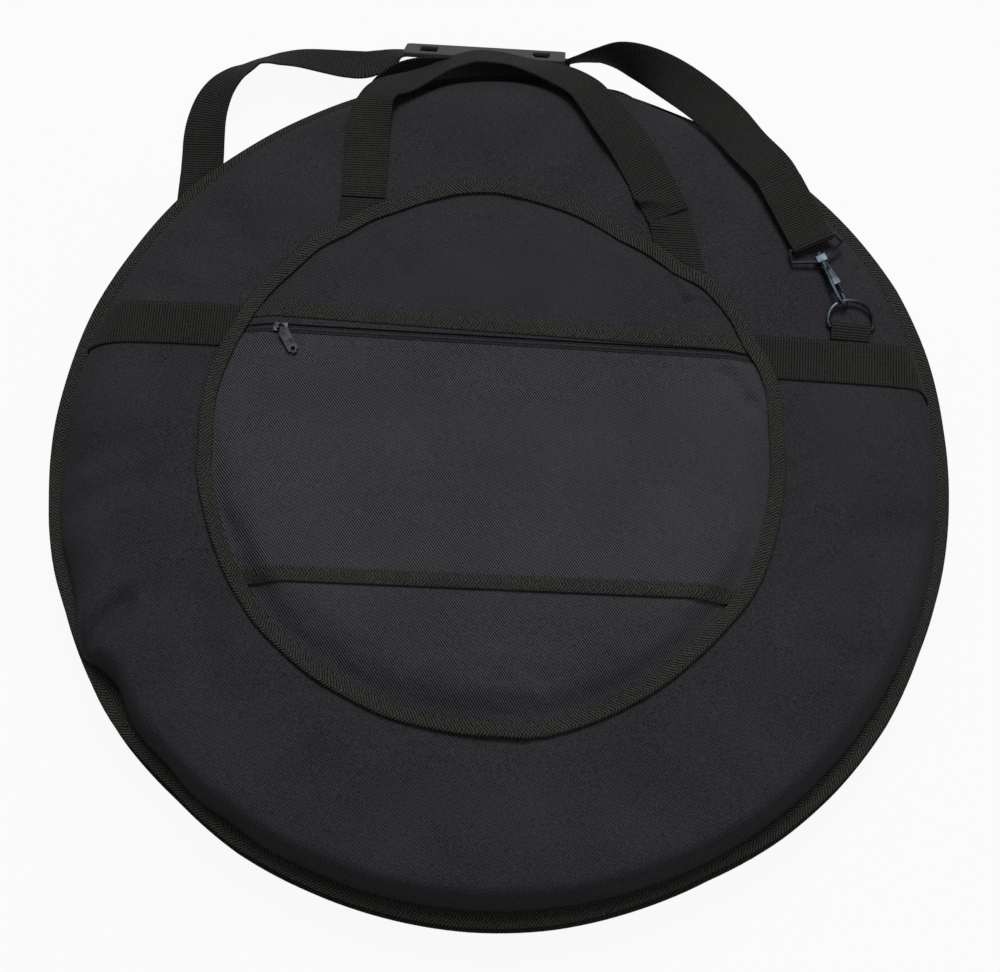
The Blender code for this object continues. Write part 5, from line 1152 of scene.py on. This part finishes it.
def makeShoulderPad():
    windowOut = pad["length"] / 2 - pad["windowInset"]
    windowIn = windowOut - pad["window"]
    plate = makePlate(windowIn, windowOut)
    blocks = []
    for side in (-1, 1):  # a bar on two posts behind each window holds the web against the pad
        x = side * (windowIn + windowOut) / 2
        across = pad["opening"] + 2 * pad["post"]
        bar = addBlock("bar", (x, 0.0, -0.0034), (pad["bridge"], across, pad["bar"]))
        bevel(bar, 0.0004, 2, 30.0)
        blocks.append(bar)
        for edge in (-1, 1):
            place = (x, edge * (pad["opening"] + pad["post"]) / 2, -0.0010)
            blocks.append(addBlock("post", place, (pad["bridge"], pad["post"], pad["postHeight"])))
    pick(plate)
    for block in blocks:
        block.select_set(True)
    bpy.ops.object.join()
    setPoints(plate, padPlaces(points(plate)))
    smooth(plate, 40.0)
    finish(plate, padRubber, ["shoulder_pad"], "pad")


makeShoulderPad()
print("shoulder pad made")


# inset is how far the rows lie from a tape's or a band's edge, float how far the thread stands off
stitch = {"length": 0.0023, "step": 0.0034, "wide": 0.00030, "high": 0.00022, "float": 0.00008,
          "tapeInset": 0.0020, "bandInset": 0.0022, "underZip": 0.0115}


def makeStitch():
    unit = addPiece("stitch", bpy.ops.mesh.primitive_uv_sphere_add, segments=6, ring_count=4, radius=1.0,
                    rotation=(0.0, math.pi / 2, 0.0),
                    scale=(stitch["high"], stitch["wide"], stitch["length"] / 2))
    bakePlace(unit)
    shape, faces = points(unit), [tuple(p.vertices) for p in unit.data.polygons]
    bpy.ops.object.delete()
    return shape, faces


stitchShape, stitchFaces = makeStitch()


def sew(name, path, up, body):
    # lays one stitch after another along a path, copying the one that was modelled
    run = runAlong(path)
    count = int(run[-1] / stitch["step"])
    wanted = (np.arange(count) + 0.5) * run[-1] / count
    middle = readAt(wanted, run, path)
    ahead = readAt(wanted + 0.0008, run, path) - readAt(wanted - 0.0008, run, path)
    ahead /= np.linalg.norm(ahead, axis=1, keepdims=True)
    side = np.cross(readAt(wanted, run, up), ahead)
    side /= np.linalg.norm(side, axis=1, keepdims=True)
    turned = np.stack([ahead, side, np.cross(ahead, side)], axis=1)
    faces = [tuple(v + len(stitchShape) * index for v in face)
             for index in range(count) for face in stitchFaces]
    row = addPiece(name, bpy.ops.mesh.primitive_cube_add, size=0.01)
    row.data = bpy.data.meshes.new(name)
    row.data.from_pydata((middle[:, None] + stitchShape @ turned).reshape(-1, 3).tolist(), [], faces)
    writeUv(row, lambda corner, face: (corner[:, 0], corner[:, 1]))
    smooth(row, 80.0)
    finish(row, thread, [], body)


def sewOn(name, ground, x, y):
    # the stitches lie on the highest place of the piece over each x and y
    tree = treeOf(bpy.data.objects[ground])
    places, ups = [], []
    for a, b in zip(x, y):
        hit, normal, index, distance = tree.ray_cast(Vector((a, b, 0.12)), Vector((0.0, 0.0, -1.0)))
        if hit:
            places.append(hit[:])
            ups.append(normal[:] if normal.z > 0 else (-normal)[:])
    ups = np.array(ups)
    sew(name, np.array(places) + ups * stitch["float"], ups, "front")


def makeStitching():
    midX, midY = pocket["middle"]
    angle = np.radians(np.linspace(0.0, 360.0, 400))
    ring = ringRound(angle) - pocket["tapeWidth"] + stitch["tapeInset"]
    sewOn("pocketTapeStitches", "pocketEdgeTape", midX + ring * np.cos(angle), midY + ring * np.sin(angle))
    for label, ground, y, lean, ends, shifts in (
            ("strip", "pocketEdgeStrip", "stripY", "stripTurn", (-0.155, 0.150), (-0.0034, 0.0036)),
            ("facing", "zipFacing", "facingY", "facingTurn", (-0.160, 0.155), (-0.0042, 0.0042))):
        x = np.linspace(*ends, 260)
        line = pocket[y] + (x - midX) * math.tan(math.radians(pocket[lean]))
        for place, shift in zip(("Low", "High"), shifts):
            sewOn(label + "Stitches" + place, ground, x, line + shift)
    sewOn("zipTopstitch", "pocketMiddle", x, np.full_like(x, pocket["zipY"] - stitch["underZip"]))
    for side, name in ((-1, "frontBandLeft"), (1, "frontBandRight")):
        x = side * np.linspace(0.178, 0.296, 120)
        for edge, place in ((-1, "Low"), (1, "High")):
            y = bands["y"] + edge * (bands["width"] / 2 - stitch["bandInset"])
            sewOn(name + place + "Stitches", name, x, np.full_like(x, y))


makeStitching()
print("stitching made")


hardware = {"steel": ("front_hook", "front_hook_gate", "front_hook_loop", "front_d_ring",
                      "back_hook", "back_hook_gate", "back_hook_loop", "back_d_ring"),
            "black": ("main_slider_a", "main_slider_b", "main_pull_a", "main_pull_b", "pocket_slider",
                      "pocket_pull")}


def finishHardware():
    # the metal pieces keep their solids and take these finishes
    for names, material in ((hardware["steel"], steel), (hardware["black"], darkSteel)):
        for name in names:
            node = frame["nodes"][name]
            for place in node.material_slots:
                place.material = material
            if not node.material_slots:
                node.data.materials.append(material)


finishHardware()


# the flat body of each snap hook: its start from the swivel, its outline, the panel sunk into it and its lift
hookShell = {"start": 0.0036, "length": 0.0160, "narrow": 0.0046, "wide": 0.0090, "thick": 0.0022,
             "rail": 0.0011, "sink": 0.0005, "lift": 0.0011}


def makeHookShells():
    # each lies between its swivel and its gate, on the side away from the gate; headings are in degrees
    swivels = {joint["name"]: joint["pos_m"] for joint in frame["record"]["behaviour"]["joints"]}
    for name, body, joint, heading, side in (("frontHookShell", "front_snap", "front_hook_swivel", 297.5, 1),
                                             ("backHookShell", "back_snap", "back_hook_swivel", 270.0, -1)):
        shell = addBlock(name, (0.0, 0.0, 0.0), (hookShell["length"], hookShell["wide"], hookShell["thick"]))
        places = points(shell)
        places[places[:, 0] < 0, 1] *= hookShell["narrow"] / hookShell["wide"]
        setPoints(shell, places)
        editSome(shell, "FACE", lambda face: abs(face.normal.z) > 0.9, bpy.ops.mesh.inset,
                 thickness=hookShell["rail"], depth=-hookShell["sink"], use_individual=True)
        bevel(shell, 0.0003, 2, 40.0)
        along, across, up = (points(shell) + (hookShell["start"] + hookShell["length"] / 2, 0.0, 0.0)).T
        x, y, z = swivels[joint]
        cos, sin = math.cos(math.radians(heading)), math.sin(math.radians(heading))
        setPoints(shell, np.stack([x + along * cos - across * sin, y + along * sin + across * cos,
                                   z + side * hookShell["lift"] + up], axis=1))
        smooth(shell, 40.0)
        finish(shell, steel, [], body)


makeHookShells()
print("hardware finished")


# each lamp has its place, its size in metres and its power in watts
light = {"floor": 8.0, "glow": 0.93, "world": 0.25, "seenSky": 0.965, "ground": 0.40,
         "keyLight": ((0.1, 3.05, 5.4), 2.4, 335.0), "fillLight": ((0.9, -0.6, 1.5), 1.4, 6.0)}


def mixShaders(tree, share, first, second, output):
    mix = tree.nodes.new("ShaderNodeMixShader")
    for index, source in enumerate((share, first.outputs[0], second.outputs[0])):
        tree.links.new(source, mix.inputs[index])
    tree.links.new(mix.outputs[0], tree.nodes[output].inputs["Surface"])


def makeFloor():
    floor = addPiece("floor", bpy.ops.mesh.primitive_plane_add, size=light["floor"],
                     location=(0.0, 0.0, -0.0002))
    bakePlace(floor)
    material, tree, shader = newMaterial("paleFloor")
    shader.inputs["Base Color"].default_value = (light["ground"],) * 3 + (1.0,)
    shader.inputs["Roughness"].default_value = 0.9
    glow = tree.nodes.new("ShaderNodeEmission")
    glow.inputs["Strength"].default_value = 1.0
    path = tree.nodes.new("ShaderNodeLightPath")
    seen = mathNode(tree, "MAXIMUM", path.outputs["Is Camera Ray"], path.outputs["Is Glossy Ray"])
    seen = mathNode(tree, "MAXIMUM", seen, path.outputs["Is Transmission Ray"])
    mixShaders(tree, mathNode(tree, "MULTIPLY", seen, light["glow"]), shader, glow, "Material Output")
    floor.data.materials.append(material)


def makeLights():
    world = bpy.data.worlds.new("studio")
    bpy.context.scene.world = world
    world.use_nodes = True
    tree = world.node_tree
    sky, seenSky = tree.nodes["Background"], tree.nodes.new("ShaderNodeBackground")
    for node, strength, grey in ((sky, light["world"], 1.0), (seenSky, 1.0, light["seenSky"])):
        node.inputs["Strength"].default_value = strength
        node.inputs["Color"].default_value = (grey, grey, grey, 1.0)
    path = tree.nodes.new("ShaderNodeLightPath")
    mixShaders(tree, path.outputs["Is Camera Ray"], sky, seenSky, "World Output")
    for name in ("keyLight", "fillLight"):
        place, size, power = light[name]
        lamp = addPiece(name, bpy.ops.object.light_add, type="AREA", location=place)
        lamp.data.size = size
        lamp.data.energy = power
        lamp.rotation_mode = "QUATERNION"
        lamp.rotation_quaternion = (-Vector(place)).to_track_quat("-Z", "Y")


makeFloor()
makeLights()
bpy.context.scene.view_settings.view_transform = "Standard"
print("floor and lights made")
